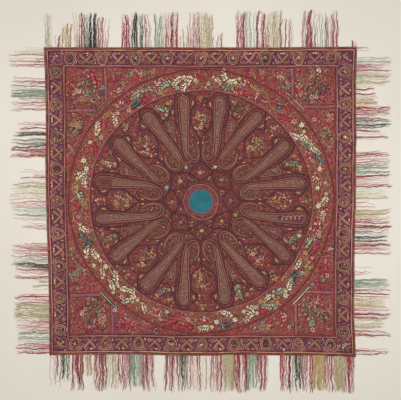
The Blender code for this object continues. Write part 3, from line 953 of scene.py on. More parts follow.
spine = smooth(SPINE, 10)
cap = [
    (HEAD_OUT + HEAD_RADIUS * math.sin(a), HEAD_ASIDE, max(1.0, HEAD_RADIUS * math.cos(a)))
    for a in np.linspace(1.5, 0.15, 8)
]
body = np.vstack((cap, spine))
drop = smooth(DROP, 8)
work = Needlework()
chance.seed(12)
for number in range(8):
    for side in (-1, 1):

        def here(points):
            """The places of one paisley's points on the cloth."""
            return along_spoke(number, points, side)

        scrolled, reddened = (number, side) == SCROLLED, (number, side) == REDDENED
        work.base = 0.0
        fills = ["umber" if row[2] > 15 else "russet" for row in body]
        if scrolled:
            # Plum from here on, with a crimson end
            outer = ["crimson" if row[0] > 608 else "plum" for row in body]
            fills = [own if row[0] > 462 else dye for row, own, dye in zip(body, outer, fills)]
        if reddened:
            fills = ["russet" if row[0] > REDDENED_FROM else dye for row, dye in zip(body, fills)]
        work.cord(here(body), np.maximum(body[:, 2] - 1, 0.6), fills, 0.45, shade=draw(0.79, 0.9))
        work.cord(here(drop), drop[:, 2], "russet", 0.3, shade=0.9)
        for inset, gauge, dyes, rise, tint in (
            (2.3, 2.1, "clay rose clay rose umber", 1.0, 0.97),
            (7.4, 3.3, "russet russet olive wine", 0.7, 0.6),
            (12.7, 1.8, "clay tan rose bronze", 0.85, 0.9),
        ):
            dye = by_turns(dyes, 6, 18)
            work.cord(here(paisley_outline(spine, inset)), gauge, dye, rise, closed=True, shade=tint)
        front, back = paisley_side(spine[:26], -5, -1), paisley_side(spine, -5, 1)
        outside = np.vstack((front[::-1], round_end(-5, 0, math.pi, 12), back))
        work.cord(here(outside), 3.6, "bark", 0.6, shade=1.1)
        if scrolled:
            loops = [
                (474 + 2.1 * k + 10 * math.cos(0.5 * k), 109 + 11 * math.sin(0.5 * k)) for k in range(62)
            ]
            work.base = 0.7
            work.cord(here(loops), 2.3, "pink")
        work.base = 0.35
        for out, aside, half_width in body:
            room = half_width - 15.5
            speckle = SPECKLE
            if scrolled and out > SCROLLED_FROM:
                speckle = SCROLLED_SPECKLE
            elif reddened and out > 400:
                speckle = RED_SPECKLE if out > REDDENED_FROM else BROWN_SPECKLE
            for k in range(max(0, int(room / 2.6))):
                spot = spoke(number, out + draw(-5, 5), (aside + draw(-1, 1) * room) * side)
                size = (draw(3.8, 6.2), draw(2.0, 2.9))
                work.leaf(*spot, any_turn(), *size, pick(speckle), 0.6, draw(0.72, 0.98))

        def in_drop(least, most):
            """A place in the drop, between two of its rows."""
            row = drop[chance.randrange(least, len(drop) - most)]
            return spoke(number, row[0], (row[1] + draw(-0.85, 0.85) * row[2]) * side)

        for k in range(34):
            dye = pick(DROP_DYES)
            work.leaf(*in_drop(1, 2), any_turn(), 5.0, 2.5, dye, 0.7)
        for out, aside, size in ((272, 45, 7), (298, 46, 10), (327, 51, 9), (352, 59, 7)):
            petal, heart = pick(DROP_FLOWERS)
            middle = spoke(number, out, aside * side)
            work.leaf(*middle, 0.0, size * 1.3, size * 1.1, "bark", 0.55)
            work.floret(*middle, size, petal, heart, 5, draw(0, 6))
        for k in range(5):
            bright = pick("cream blush sage gold tan straw")
            work.edged(*in_drop(2, 4), any_turn(), 5.4, 2.4, bright, 1.3)
paisleys = work.sew("paisleys")
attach(paisleys, "root")

# The wheel's flowers: bunches, branches and strewn flowers in every compartment between the
# paisleys, and blossoms among the small work round the moon
BRIGHT = "cream gold ochre blush sand tan brick pink".split()
DULL = "olive bark rose umber bronze crimson plum sage russet wine forest".split()
BUNCHES = dye_sets(
    "blush ochre tan, sand brick sage, ochre olive magenta, straw magenta sage, sand brick blush, "
    "brick sage straw, sand olive crimson, tan blush magenta"
)
WEDGE_BUNCHES = dye_sets(
    "tan bronze sage, clay tan rose, sage crimson mist, tan brick sage, rose sage brick, "
    "magenta crimson mist, mist blush crimson, tan rose olive"
)
HUB_BLOSSOMS = dye_sets(
    "blush rose, sage tan, tan rose, ochre gold, gold straw, rose tan, sand olive, straw brick"
)
HUB_CLUMPS = dye_sets(
    "gold cream, crimson rose, gold sage, mauve rose, olive sage, rose mauve, celadon mist, "
    "sage celadon"
)
BOUGHS = "olive sage sage celadon sage tan blush celadon".split()
# Leaves along the paisleys: how far out and aside, their lean in degrees, half length and dye
PALE_LEAVES = (
    (580, 55, -13, 23, "sand"), (530, 177, -6, 22, "sand"), (500, 174, 0, 10, "tan"),
    (350, 15, 24, 13, "straw"), (392, 52, 34, 10, "sand"), (592, 190, -20, 13, "blush"),
)
# What is strewn on a spoke, beside it and between two: how far out and aside, how far it spreads, how
# many, of what dyes and how large
ON_SPOKE = (
    (478, 0, 62, 56, BRIGHT + DULL + DULL, 7),
    (580, 0, 26, 9, BRIGHT + DULL, 5.5),
    (400, 0, 22, 8, "ochre rose sage cream plum", 5),
    (320, 0, 9, 5, "ochre rose gold wine", 4),
    (180, 0, 30, 14, DULL, 5.5),
)
BESIDE_SPOKE = (
    (214, 78, 22, 8, DULL, 5),
    (640, 60, 16, 5, BRIGHT + DULL, 5),
    (600, 196, 30, 12, BRIGHT[1:6] + DULL, 5.5),
)
BETWEEN_SPOKES = (
    (606, 0, 60, 40, "crimson rose olive bark tan plum ink brick", 6.5),
    (560, 0, 20, 5, "crimson rose olive straw", 5),
    (147, 0, 20, 8, "rose sage ochre cream ink", 5.5),
    (350, 0, 20, 9, DULL, 5),
)
work = Needlework()


def strew_rows(rows, number, side=1):
    """Strew what the rows of a table say round their places."""
    for out, aside, spread, count, dyes, size in rows:
        work.strew(spoke(number, out, aside * side), spread, count, dyes, size)


def blossom_with_leaves(number, out, aside, size, dyes, turn, count, spans, leaf_size):
    """A blossom near the moon, with rimmed leaves of its dyes round it."""
    work.blossom(*spoke(number, out, aside), size, *dyes, "ink", turn)
    for k in range(count):
        spot = spoke(number, spans[0] + draw(*spans[1]), draw(*spans[2]))
        work.edged(*spot, any_turn(), *leaf_size, pick(dyes), 1.0)


chance.seed(13)
for number in range(8):
    turn = way_out(number)
    for out, aside, size, shift in ((448, 0, 40, 0), (514, 12, 30, 3), (500, -30, 22, 5), (628, 0, 34, 2)):
        work.bunch(*spoke(number, out, aside), size, BUNCHES[(number + shift) % 8], turn)
    strew_rows(ON_SPOKE, number)
    near = (180, (-16, 22), (-18, 18))
    blossom_with_leaves(number, 176, 3, 15, HUB_BLOSSOMS[number], turn, 4, near, (8, 3.2))
    for side in (-1, 1):
        for out, aside, lean, size, dye in PALE_LEAVES:
            spot, way = spoke(number, out, aside * side), way_out(number, lean * side)
            work.leaf(*spot, way, size + 3, size * 0.28 + 3.2, "russet", 0.6)
            work.leaf(*spot, way, size, size * 0.28 + 0.8, dye, 1.1, draw(0.85, 1))
        strew_rows(BESIDE_SPOKE, number, side)
    between = number + 0.5
    near = (222, (-18, 18), (-14, 14))
    blossom_with_leaves(between, 222, 0, 14, HUB_CLUMPS[number], turn, 3, near, (7, 3))
    work.base = 0.45
    work.bunch(*spoke(between, 482, 0), 23, WEDGE_BUNCHES[number], turn)
    work.strew(spoke(between, 448, 0), 7, 4, "rose olive ink tan", 4.5)
    work.base = 0.0
    # A branch with broad leaves in each outer compartment
    way = way_out(between, draw(-60, 60))
    work.spray(*spoke(between, 588, 0), 54, BOUGHS[number], ("tan", "sage")[number % 2], way, 0.9)
    for side in (-1, 1):
        work.floret(*spoke(between, 626, 38 * side), 13, pick(BRIGHT), "ink", 6, 0.4)
    strew_rows(BETWEEN_SPOKES, between)
wheel_flowers = work.sew("wheel_flowers")
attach(wheel_flowers, "root")

# The garland: a ring of flowering branches and blossoms on a thin stem, between the two circles.
# Small leaves and florets of all dyes fill the ground behind it.
GARLAND_MIDDLE = 731
TWIGS = 110
APART = 0.050  # the nearest that two branches or blossoms come to each other
# The dyes of a branch and of its flowers, and the weight of each pair in the draw
GARLAND_SETS = (
    ("cream", "straw", 22), ("cream", "blush", 19), ("crimson", "magenta", 15), ("magenta", "blush", 9),
    ("celadon", "sage", 9), ("sage", "mist", 4), ("teal", "mist", 8), ("sand", "ochre", 10),
    ("blush", "crimson", 10),
)
STREWN = "pink sand ochre tan sand crimson ink straw brick blush forest olive bark tan"


def around(radius, angle):
    """A place round the middle, from a radius in millimetres and an angle in radians."""
    return hand(radius * MM * math.cos(angle), radius * MM * math.sin(angle))


def somewhere(spread):
    """A random angle and a random radius in the ring."""
    return draw(0, 2 * math.pi), GARLAND_MIDDLE + draw(-spread, spread)


work = Needlework()
chance.seed(14)
for offset, gauge, dye in ((0, 2.0, "olive"), (6, 1.6, "tan")):
    stem = [
        around(GARLAND_MIDDLE + offset + 22 * math.sin(19 * a) + 9 * math.sin(31 * a + 1), a)
        for a in np.linspace(0, 2 * math.pi, 520)[:-1]
    ]
    work.cord(stem, gauge, dye, 0.7, closed=True)
for k in range(1600):
    angle, radius = somewhere(58)
    dye = pick(STREWN)
    if k % 12:
        work.leaf(*around(radius, angle), draw(0, 6.2), draw(4, 8.5), draw(2, 3.4), dye, 0.7)
    else:
        work.floret(*around(radius, angle), draw(5, 8), dye, pick(("ink", "crimson")), 5, angle)
for k in range(TWIGS):
    angle, radius = 2 * math.pi * (k + chance.random()) / TWIGS, GARLAND_MIDDLE + draw(-46, 46)
    swing = draw(0, 6.28)
    twig = [around(radius, angle)]
    for j in range(3):
        swing += draw(-0.9, 0.9)
        twig.append(off(twig[-1], swing, 13))
    work.cord(twig, 1.7, pick("straw tan gold bronze ink"), 0.8)
taken = []
for k in range(6000):
    angle, radius = somewhere(33)
    place = around(radius, angle)
    if any(math.dist(place, other) < APART for other in taken):
        continue
    taken.append(place)
    # Cream branches gather in some stretches of the ring, and deeper ones in the others
    cream_here = math.sin(5 * angle + 1.0) + 0.6 * math.sin(9 * angle) > 0
    weights = [entry[2] * (1.7 if ("cream" in entry) == cream_here else 0.55) for entry in GARLAND_SETS]
    petal, inner, _ = chance.choices(GARLAND_SETS, weights)[0]
    if chance.random() < 0.72:
        along = angle + pick((-1, 1)) * math.pi / 2 + draw(-0.7, 0.7)
        work.spray(*place, draw(42, 58), petal, inner, along)
    else:
        work.blossom(*place, draw(15, 23), petal, inner, pick("ink crimson gold"), angle)
garland = work.sew("garland")
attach(garland, "root")

# The spandrels: the four corners of the ground outside the wheel. Each corner has a square
# compartment behind mauve bars, filled with a flowering bush, and loose sprays beside it.
GROUND_END = 802  # where the needlework stops short of the border
SPANDREL = "crimson rose bark olive sand blush magenta tan pink ink mauve pink forest rose"
CORNER_SETS = dye_sets(
    "crimson blush, magenta crimson, rose tan, mauve plum, cream crimson, sand olive, sage tan, "
    "blush crimson, crimson rose, tan sage"
)


def corner_place(turns, u, v):
    """A place in one of the four corners, from its place in the top right one in millimetres."""
    for _ in range(turns):
        u, v = -v, u
    return hand(u * MM, v * MM)


def run_between(start, end, count):
    """Points on a straight line."""
    return [np.array(start) * (1 - t) + np.array(end) * t for t in np.linspace(0, 1, count)]


trunk = smooth([(590, 604), (628, 640), (670, 668), (706, 712), (744, 738)], 9)
work = Needlework()
chance.seed(15)
for turns in range(4):
    lean = turns * math.pi / 2

    def here(points):
        """The places of points in this corner."""
        return [corner_place(turns, *point) for point in points]

    bar = by_turns("mauve rose mauve mauve", 1, 2)
    pale = ("blush", "tan", "celadon", "cream")[turns]
    # The compartment's bars, each of strands side by side: the shift, the half width and the dye
    mauve_bar = ((-11, 2.0, "bark"), (0, 7.2, bar), (11, 2.0, "bark"))
    pale_bar = ((-9, 2.0, "rose"), (-3.6, 4.0, "forest"), (3.4, 2.5, pale), (8, 2.4, "bark"))
    for start, end, strands in (
        ((546, 802), (546, 614), mauve_bar),
        ((802, 571), (616, 571), mauve_bar),
        ((615, 553), (516, 652), pale_bar),
    ):
        across = np.array((end[1] - start[1], start[0] - end[0])) / math.dist(start, end)
        for shift, gauge, dye in strands:
            work.cord(here([spot + across * shift for spot in run_between(start, end, 14)]), gauge, dye, 0.8)
    # The bush grows from the compartment's inner angle towards its point
    work.cord(here(trunk), 3.4, "bronze", 0.8)
    for k in range(17):
        base = trunk[1 + k % (len(trunk) - 2)]
        swing = math.radians(45 + (-1) ** k * draw(30, 85))
        reach = draw(40, 96)
        tip = np.clip(base + np.array((math.cos(swing), math.sin(swing))) * reach, 588, 786)
        work.cord(here((base, (base + tip) / 2 + 6, tip)), 1.6, "forest", 0.7)
        petal, inner = pick(CORNER_SETS)
        spot = corner_place(turns, *tip)
        if k % 2 == 0:
            work.spray(*spot, draw(32, 46), petal, inner, swing + lean, 0.97)
        else:
            work.blossom(*spot, draw(14, 21), petal, inner, "ink", swing)
        for j in range(3):
            spot = base + (tip - base) * (0.3 + 0.22 * j) + np.array((draw(-8, 8), draw(-8, 8)))
            dye = pick("sage olive teal celadon forest")
            work.leaf(*corner_place(turns, *spot), swing + lean + (-1) ** j * 0.7, 12, 4.6, dye, 0.9)
    for k in range(120):
        spot = (draw(564, 798), draw(586, 798))
        size = (draw(5, 14), draw(2.4, 4.6))
        sewn_leaf = work.edged if k % 4 == 0 else work.leaf
        sewn_leaf(*corner_place(turns, *spot), draw(0, 6.2), *size, pick(SPANDREL), 0.8)
    # Sprays beside the compartment, between the wheel and the border
    for k in range(64):
        beside = draw(150, 536)
        inner_edge = math.sqrt(825**2 - beside**2)
        if inner_edge > 780:
            continue
        away = draw(inner_edge, 788)
        spot = corner_place(turns, *((beside, away) if k % 2 else (away, beside)))
        room = min(away - inner_edge + 14, GROUND_END - away, 30)
        kind = chance.random()
        petal, inner = pick(CORNER_SETS)
        if kind < 0.45 and room > 15:
            work.spray(*spot, room * 1.5, petal, inner, draw(0, 6.2), 0.9)
        elif kind < 0.7:
            work.blossom(*spot, max(8, room * 0.55), petal, inner, "ink", draw(0, 6))
        for j in range(4):
            place = (spot[0] + draw(-26, 26) * MM, spot[1] + draw(-26, 26) * MM)
            work.leaf(*place, any_turn(), draw(5, 13), draw(2.4, 4), pick(SPANDREL), 0.8)
corners = work.sew("corners")
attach(corners, "root")

# The ground's small work: thousands of single satin leaves in dull colours fill all that is left.
# Their dyes change from zone to zone, and in places they lean to red or to brown.
MOON_RINGS = 116
HUB_END = 300
STAR_END = 490
RING_START = 660
STEP = 9.9  # from one leaf to the next
HUB_GROUND = "bark wine plum russet mauve rose olive bark"
WHEEL_GROUND = "bark wine olive rose mauve madder plum bronze wine ink pink violet umber"
RING_GROUND = "rose tan rose pink brick madder olive sand umber madder bark"
CORNER_GROUND = "rose madder madder pink olive mauve umber madder tan wine rose pink"
REDDER = "madder wine mulberry madder rose"
BROWNER = "olive bronze umber brick bark tan"
work = Needlework()
chance.seed(16)
reach = int(FIELD_HALF / MM / STEP)
for row in range(-reach, reach + 1):
    for column in range(-reach, reach + 1):
        u = (column + draw(-0.45, 0.45)) * STEP
        v = (row + draw(-0.45, 0.45)) * STEP
        far = math.hypot(u, v)
        if far < MOON_RINGS or max(abs(u), abs(v)) > GROUND_END:
            continue
        shade = draw(0.75, 1.05)
        mood = math.sin(u / 57 + 1.3 * math.sin(v / 83)) + math.sin(v / 49 + 1.7 * math.sin(u / 91 + 2))
        in_ring = RING_START < far < OUTER_CIRCLE
        if far < HUB_END:
            dye = pick(HUB_GROUND)
            shade *= 0.66
        elif abs(mood) > 0.9 and chance.random() < 0.6 and not in_ring:
            dye = pick(REDDER if mood > 0 else BROWNER)
            shade *= 0.84 if far < RING_START else 1.0
        elif far < RING_START:
            dye = pick(WHEEL_GROUND)
            shade *= 0.82 if far < STAR_END else 0.93
        elif far < OUTER_CIRCLE:
            dye = pick(RING_GROUND)
        else:
            dye = pick(CORNER_GROUND)
            shade *= 1.22
        size = (draw(4.6, 7.6), draw(2.2, 3.4))
        work.leaf(u * MM, v * MM, any_turn(), *size, dye, 0.3, shade)
ground = work.sew("ground_leaves", leaf_small)
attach(ground, "root")

# The border's needlework: roundels and crossed leaves by turns on all four sides. It lies between a
# pale pink and tan cord by the binding and a thinner one along the ground.
ROUNDELS = 9
ROUNDEL_PITCH = 194.6
BORDER_MIDDLE = 865
SMALL_LEAVES = "plum rose madder bark mulberry violet violet ink olive pink blush violet cream"
CORNER_SPRAYS = dye_sets("blush gold, straw cream, gold blush, blush straw")


def side_place(side_number, along, out):
    """A place on a side, from its middle line and outwards, in millimetres. The top comes first."""
    u, v = along, out
    for _ in range(side_number):
        u, v = v, -u
    return u * MM, v * MM


def turned(dyes, stretch):
    """The dye of a cord, or its dyes by turns in stretches of so many points."""
    return by_turns(dyes, *stretch) if stretch else dyes


work = Needlework()
chance.seed(17)
for side_number in range(4):
    inward = -math.pi / 2 - side_number * math.pi / 2

    def here(u, v):
        """A place on this side."""
        return side_place(side_number, u, v)

    def on_band(points):
        """The places of one motif's points on this side."""
        return [side_place(side_number, *point) for point in points]

    def curl(at, way, aside, out, wide, high, start, swing, count, end=1.0):
        """A curl beside a motif, whose width and height shrink from the first to the last turn."""
        run = []
        for t in np.linspace(0, end, count):
            across = aside + (wide[0] - wide[1] * t) * math.cos(start + swing * t)
            run.append((at + way * across, out + (high[0] - high[1] * t) * math.sin(start + swing * t)))
        return on_band(run)

    # The lines along the side: how far out, half the length, the half width, the dyes and the
    # stretches that they take turns in, the rise and the shade
    edge_dyes = "pink tan pink sand rose" if side_number % 2 == 0 else "pink pink rose tan"
    for out, end, gauge, dyes, stretch, rise, tint in (
        (911.6, 911, 3.0, edge_dyes, (2, 9), 1.1, 1.24),
        (905.8, 905, 2.6, "wine", None, 0.7, 0.7),
        (918.4, 918, 3.2, "russet wine russet bark", (1, 3), 0.7, 1.15),
        (924.9, 924.5, 3.2, "russet olive madder bronze", (1, 2), 0.9, 1.15),
        (817, 817, 2.9, "tan tan rose pink", (4, 14), 1.0, 1.0),
        (823, 823, 2.2, ("plum", "bark"), (3, 9), 0.8, 1.0),
        (806.5, 806, 3.0, "russet bark madder", (3, 9), 0.9, 1.0),
    ):
        stations = np.linspace(-end, end, 160)
        drawn = on_band([(x, out + 1.2 * math.sin(x / 47.0 + side_number * 2)) for x in stations])
        work.cord(drawn, gauge, turned(dyes, stretch), rise, shade=tint)
    for k in range(420):
        spot = here(draw(-900, 900), draw(828, 902))
        dye = pick(SMALL_LEAVES)
        size = (draw(4, 7.5), draw(2, 3.2))
        work.leaf(*spot, any_turn(), *size, dye, 0.4, draw(0.95, 1.36))
    for k in range(ROUNDELS):
        at = (k - (ROUNDELS - 1) / 2) * ROUNDEL_PITCH + draw(-4, 4)
        middle = here(at, BORDER_MIDDLE + draw(-2, 2))
        pinch = draw(0.16, 0.38)
        size = draw(0.93, 1.02)
        work.base = 0.0
        rows = [math.cos(math.pi * j / 10) for j in range(11)]
        widths = [max(0.6, 33 * size * math.sqrt(1 - row * row)) for row in rows]
        disc = [off(middle, inward, row * 34 * size) for row in rows]
        work.cord(disc, widths, ("bark", "russet", "bark")[k % 3], 0.4, shade=0.9)
        work.base = 0.2
        tone = draw(0.8, 1.05)
        # The rings: radius, points, pinch, half width, dyes and their stretches, rise and shade
        for radius, count, pinched, gauge, dyes, stretch, rise, tint in (
            (38.5, 26, pinch, 2.6, "bark", None, 0.5, 1.0),
            (34, 26, pinch, 2.9, "pink rose pink clay", (2, 6), 1.0, tone * 1.14),
            (28.8, 24, pinch, 2.2, "bark", None, 0.7, 1.0),
            (24, 22, pinch * 1.2, 2.9, "tan rose pink tan umber", (1, 4), 0.9, 1.1),
        ):
            drawn = ring(radius * size, middle, count, pinched, inward)
            work.cord(drawn, gauge, turned(dyes, stretch), rise, closed=True, shade=tint)
        for j in range(11):
            angle, reach = draw(0, 0.5) + 0.571 * j, draw(9, 16)
            dye = pick("cream blush crimson cream tan pink sand")
            work.leaf(*off(middle, angle, reach), any_turn(), draw(3.8, 6), draw(2.4, 3.4), dye, 0.9)
        work.floret(*middle, 7.5, pick("cream blush brick rose"), "crimson", 5, tone, 0.9)
        work.base = 0.0
        # Arcs of a scroll that hug the roundel from the binding's side
        for way in (-1, 1):
            hug = [
                (at + way * (6 + 38 * math.sin(t * 1.35)), BORDER_MIDDLE + 8 + 32 * math.cos(t * 1.5))
                for t in np.linspace(0.1, 1, 8)
            ]
            widths = [2.2 + 1.2 * math.sin(3.1 * j / 7) for j in range(8)]
            work.cord(on_band(hug), widths, pick("pink mauve rose pink"), 1.0)
            drawn = curl(at, way, 49, BORDER_MIDDLE + 6, (8, 5), (8, 5), 4, 5, 9)
            work.cord(drawn, 2.2, pick("pink mauve rose"), 1.0)
            patch = pick("violet mulberry sage plum olive")
            for j in range(3):
                spot = here(at + way * (44 + draw(-6, 6)), BORDER_MIDDLE + draw(-24, 26))
                work.leaf(*spot, inward + draw(-0.6, 0.6), 9, 4.2, patch, 0.7, draw(0.7, 1.0))
    for k in range(ROUNDELS - 1):
        at = (k + 0.5 - (ROUNDELS - 1) / 2) * ROUNDEL_PITCH + draw(-4, 4)
        splay = draw(0.88, 1.06)
        leaf_dye = ("bronze", "clay", "bronze", "umber")[(k + side_number) % 4]
        for way in (-1, 1):
            # A broad leaf leans outwards from where the two cross, over a scroll on the other side
            spine = [(-18 * splay, 832), (0, 849), (20 * splay, 869), (37 * splay, 891)]
            spine = smooth([(at + way * across, out) for across, out in spine], 6)
            shares = [(j / (len(spine) - 1)) ** 1.4 for j in range(len(spine))]
            widths = np.array([3.0 + 6.0 * math.sin(math.pi * min(1.0, 0.05 + 0.85 * t)) for t in shares])
            drawn = on_band(spine)
            work.base = 0.15 * (way + 1)
            work.cord(drawn, widths + 4.0, "bark", 0.4)
            work.cord(drawn, widths + 1.6, "rose", 0.6, shade=0.95)
            work.base += 0.15
            work.cord(drawn, widths, leaf_dye, 0.8, shade=1.15)
            work.base += 0.45
            for spot in drawn[2:-1]:
                spot = (spot[0] + draw(-4, 4) * MM, spot[1] + draw(-4, 4) * MM)
                dye = pick("olive pink russet bronze tan rose")
                work.leaf(*spot, inward + way * draw(0.2, 1.2), 4.2, 2.2, dye, 0.6)
            work.base = 0.0
            scroll = curl(at, -way, 31, 838, (-12, -9), (11, 8), 0, 8, 18, 0.95)
            work.cord([here(at - way * 12, 836), *scroll], 2.5, pick("pink mauve rose"), 1.0)
            if chance.random() < 0.75:
                spot = here(at + way * 56, 839 + draw(-3, 3))
                work.leaf(*spot, inward + way * draw(0.2, 0.6), 13, 5, "ink", 0.6)
                work.leaf(*spot, inward + way * draw(0.2, 0.6), 11, 3.6, ("cream", "blush")[k % 2])
            tail = on_band([(at + way * 50, 899), (at + way * 59, 894), (at + way * 66, 883)])
            work.cord(tail, 2.4, "pink", 1.0)
            loop = curl(at, way, 20, 892, (9, 6), (7, 5), 2, 8, 12, 0.9)
            work.cord(loop, 2.0, pick("pink rose mauve"), 1.0)
            work.strew(here(at + way * 48, 868), 12, 4, "violet crimson madder mist ink", 5)
            if (k * 3 + side_number + way) % 3:
                tip_dye = pick("cream blush cream pink")
                work.leaf(*here(at + way * 8, 893), inward - way * 1.15, 11, 4.2, tip_dye, 1.0)
        work.leaf(*here(at, 884), inward, 6, 4, "ink", 0.9)
        work.leaf(*here(at, 872), inward, 8, 4.2, "violet")
        work.leaf(*here(at, 852), inward, 6, 4.4, pick("crimson brick ochre"), 1.6)
    # The corner block, with a spray of its own
    for end in ((826, 900), (900, 826)):
        edge = [np.array((826, 826)) * (1 - t) + np.array(end) * t for t in (0, 0.33, 0.66, 1)]
        work.cord(on_band(edge), 2.0, "rose", 0.8)
    middle = here(BORDER_MIDDLE, BORDER_MIDDLE)
    work.spray(*middle, 29, *CORNER_SPRAYS[side_number], inward + math.pi / 4 + 3.14, 0.92)
    work.strew(middle, 32, 16, "violet rose plum tan mauve", 5)
border_work = work.sew("border_work")
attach(border_work, "root")

for unused in (cord_section, leaf_whole, leaf_small):
    bpy.data.objects.remove(unused)

# The fringe: long loose threads of silky wool in blocks of one colour, crimson by turns with others.
# Some blocks have lost most of their threads.

# The blocks of each side from its left or top corner: the dye, the width in millimetres, the length
# as a share of the longest and the fullness as a share of a whole block
FRINGE_BLOCKS = {
    "top": (
        ("cream", 38, 0.92, 1.0), ("red", 62, 0.36, 0.3), ("gold", 54, 0.65, 0.6), ("gap", 22, 0, 0),
        ("red", 58, 0.93, 0.8), ("black", 75, 0.95, 1.0), ("red", 68, 0.85, 0.7), ("gap", 76, 0, 0),
        ("red", 63, 0.97, 1.0), ("black", 68, 0.93, 0.8), ("red", 50, 0.90, 0.5), ("gap", 19, 0, 0),
        ("green", 67, 0.93, 0.7), ("red", 77, 1.0, 1.0), ("cream", 54, 0.50, 0.3), ("red", 76, 0.98, 1.0),
        ("cream", 68, 0.98, 1.0), ("red", 62, 0.42, 0.4), ("gap", 83, 0, 0), ("red", 60, 1.0, 1.0),
        ("green", 63, 0.98, 0.8), ("red", 70, 0.98, 1.0), ("olive", 73, 0.98, 1.0), ("red", 68, 0.78, 0.4),
        ("gap", 63, 0, 0), ("red", 72, 1.0, 1.0), ("black", 73, 0.95, 0.5), ("red", 70, 1.0, 1.0),
        ("gap", 78, 0, 0), ("red", 26, 0.16, 0.3),
    ),
    "right": (
        ("red", 22, 0.38, 0.3), ("gap", 20, 0, 0), ("green", 58, 0.95, 0.3), ("red", 52, 1.0, 1.0),
        ("cream", 68, 0.94, 0.8), ("red", 62, 0.52, 0.5), ("gold", 64, 0.60, 0.7), ("red", 68, 0.98, 1.0),
        ("black", 68, 0.95, 0.8), ("red", 66, 0.90, 0.4), ("gap", 74, 0, 0), ("red", 74, 0.94, 1.0),
        ("green", 58, 0.94, 0.9), ("red", 74, 0.97, 1.0), ("cream", 75, 0.86, 0.7), ("red", 62, 0.52, 0.3),
        ("gold", 54, 0.96, 1.0), ("red", 68, 0.97, 1.0), ("black", 64, 0.93, 0.8), ("red", 74, 0.98, 1.0),
        ("gap", 62, 0, 0), ("red", 74, 0.50, 0.3), ("gap", 18, 0, 0), ("green", 54, 0.97, 1.0),
        ("red", 60, 0.98, 0.7), ("gold", 62, 0.92, 1.0), ("red", 60, 1.0, 1.0), ("cream", 66, 0.80, 0.6),
        ("red", 42, 1.0, 1.0), ("gap", 66, 0, 0), ("red", 48, 0.95, 0.8),
    ),
    "bottom": (
        ("red", 62, 0.85, 0.5), ("black", 54, 0.76, 0.7), ("gap", 16, 0, 0), ("red", 62, 1.0, 1.0),
        ("gold", 70, 0.58, 0.4), ("red", 68, 1.0, 1.0), ("cream", 72, 0.94, 0.7), ("red", 72, 0.98, 0.8),
        ("green", 68, 0.88, 1.0), ("red", 78, 1.0, 1.0), ("gap", 68, 0, 0), ("red", 76, 1.0, 0.9),
        ("black", 60, 1.0, 1.0), ("red", 72, 0.98, 0.7), ("cream", 62, 0.95, 0.3), ("red", 70, 1.0, 1.0),
        ("olive", 69, 1.0, 1.0), ("red", 76, 1.0, 1.0), ("green", 62, 0.96, 1.0), ("red", 66, 0.99, 1.0),
        ("gap", 74, 0, 0), ("red", 62, 0.99, 1.0), ("black", 68, 0.96, 1.0), ("red", 67, 1.0, 1.0),
        ("gold", 70, 0.96, 1.0), ("red", 56, 1.0, 1.0), ("olive", 66, 0.98, 0.9), ("red", 58, 1.0, 1.0),
    ),
    "left": (
        ("cream", 40, 0.82, 0.7), ("red", 68, 0.97, 0.8), ("gap", 60, 0, 0), ("red", 66, 0.90, 0.4),
        ("green", 60, 0.94, 1.0), ("red", 64, 0.94, 1.0), ("gap", 74, 0, 0), ("red", 48, 0.76, 0.4),
        ("black", 92, 0.94, 0.7), ("red", 70, 0.98, 0.9), ("gap", 64, 0, 0), ("red", 74, 0.72, 0.4),
        ("cream", 74, 0.97, 0.9), ("red", 68, 1.0, 0.8), ("green", 66, 0.96, 1.0), ("red", 74, 0.70, 0.4),
        ("gap", 66, 0, 0), ("red", 78, 0.98, 1.0), ("black", 68, 0.98, 1.0), ("red", 64, 0.93, 0.8),
        ("cream", 84, 0.42, 0.3), ("red", 66, 0.93, 0.8), ("olive", 82, 0.95, 1.0), ("red", 72, 0.96, 0.9),
        ("green", 66, 0.84, 0.8), ("red", 64, 0.96, 1.0),
    ),
}
# The dyes of each kind of block: its few full strands and its single threads. These are one dye twice, the
# full strands' deeper with painted shade and the single threads' paler with painted light.
FRINGE_DYES_WITH_PAINTED_LIGHT = {
    "red": ((160, 4, 38), (212, 108, 116)),
    "cream": ((210, 194, 150), (228, 219, 190)),
    "gold": ((206, 174, 118), (226, 206, 162)),
    "olive": ((202, 184, 138), (216, 202, 166)),
    "green": ((148, 166, 144), (198, 206, 188)),
    "black": ((30, 25, 12), (122, 112, 86)),
}
# How closely the threads stand along each side, and in the blocks of each dye. A side's figure also sets how
# much light is painted into its threads' colour.
DENSITY = {"top": 1.07, "right": 0.95, "bottom": 1.42, "left": 0.88}
DYE_DENSITY = {"red": 1.0, "cream": 1.3, "gold": 1.6, "olive": 1.8, "green": 1.3, "black": 1.1}
FRINGE_LENGTH = 228
TRIM_LINE = 1.156
CORNER_CLEAR = 8  # from a corner to the first block, in millimetres
THREAD_RADIUS = 0.95
KINKS = 20  # straight stretches that a thread is made of
STRAND_PITCH = 8.6
STRAND_SIZES = (1, 2, 4, 7)
STRAND_WEIGHTS = (40, 26, 20, 14)
SINGLE_PITCH = 6
CRIMP = 0.020
STRAY = 0.022


def vector(tree, operation, first, second):
    """A Vector Math node's result. What a vector is scaled by is a number."""
    inputs = {0: first, "Scale" if operation == "SCALE" else 1: second}
    return flow(tree, "ShaderNodeVectorMath", inputs, operation=operation)


def waver(tree, kind, inputs, strength):
    """A shift to all sides that changes slowly from place to place."""
    colour = node(tree, "ShaderNodeTexNoise", inputs, noise_dimensions=kind).outputs["Color"]
    return vector(tree, "SCALE", vector(tree, "SUBTRACT", colour, (0.5, 0.5, 0.5)), strength)


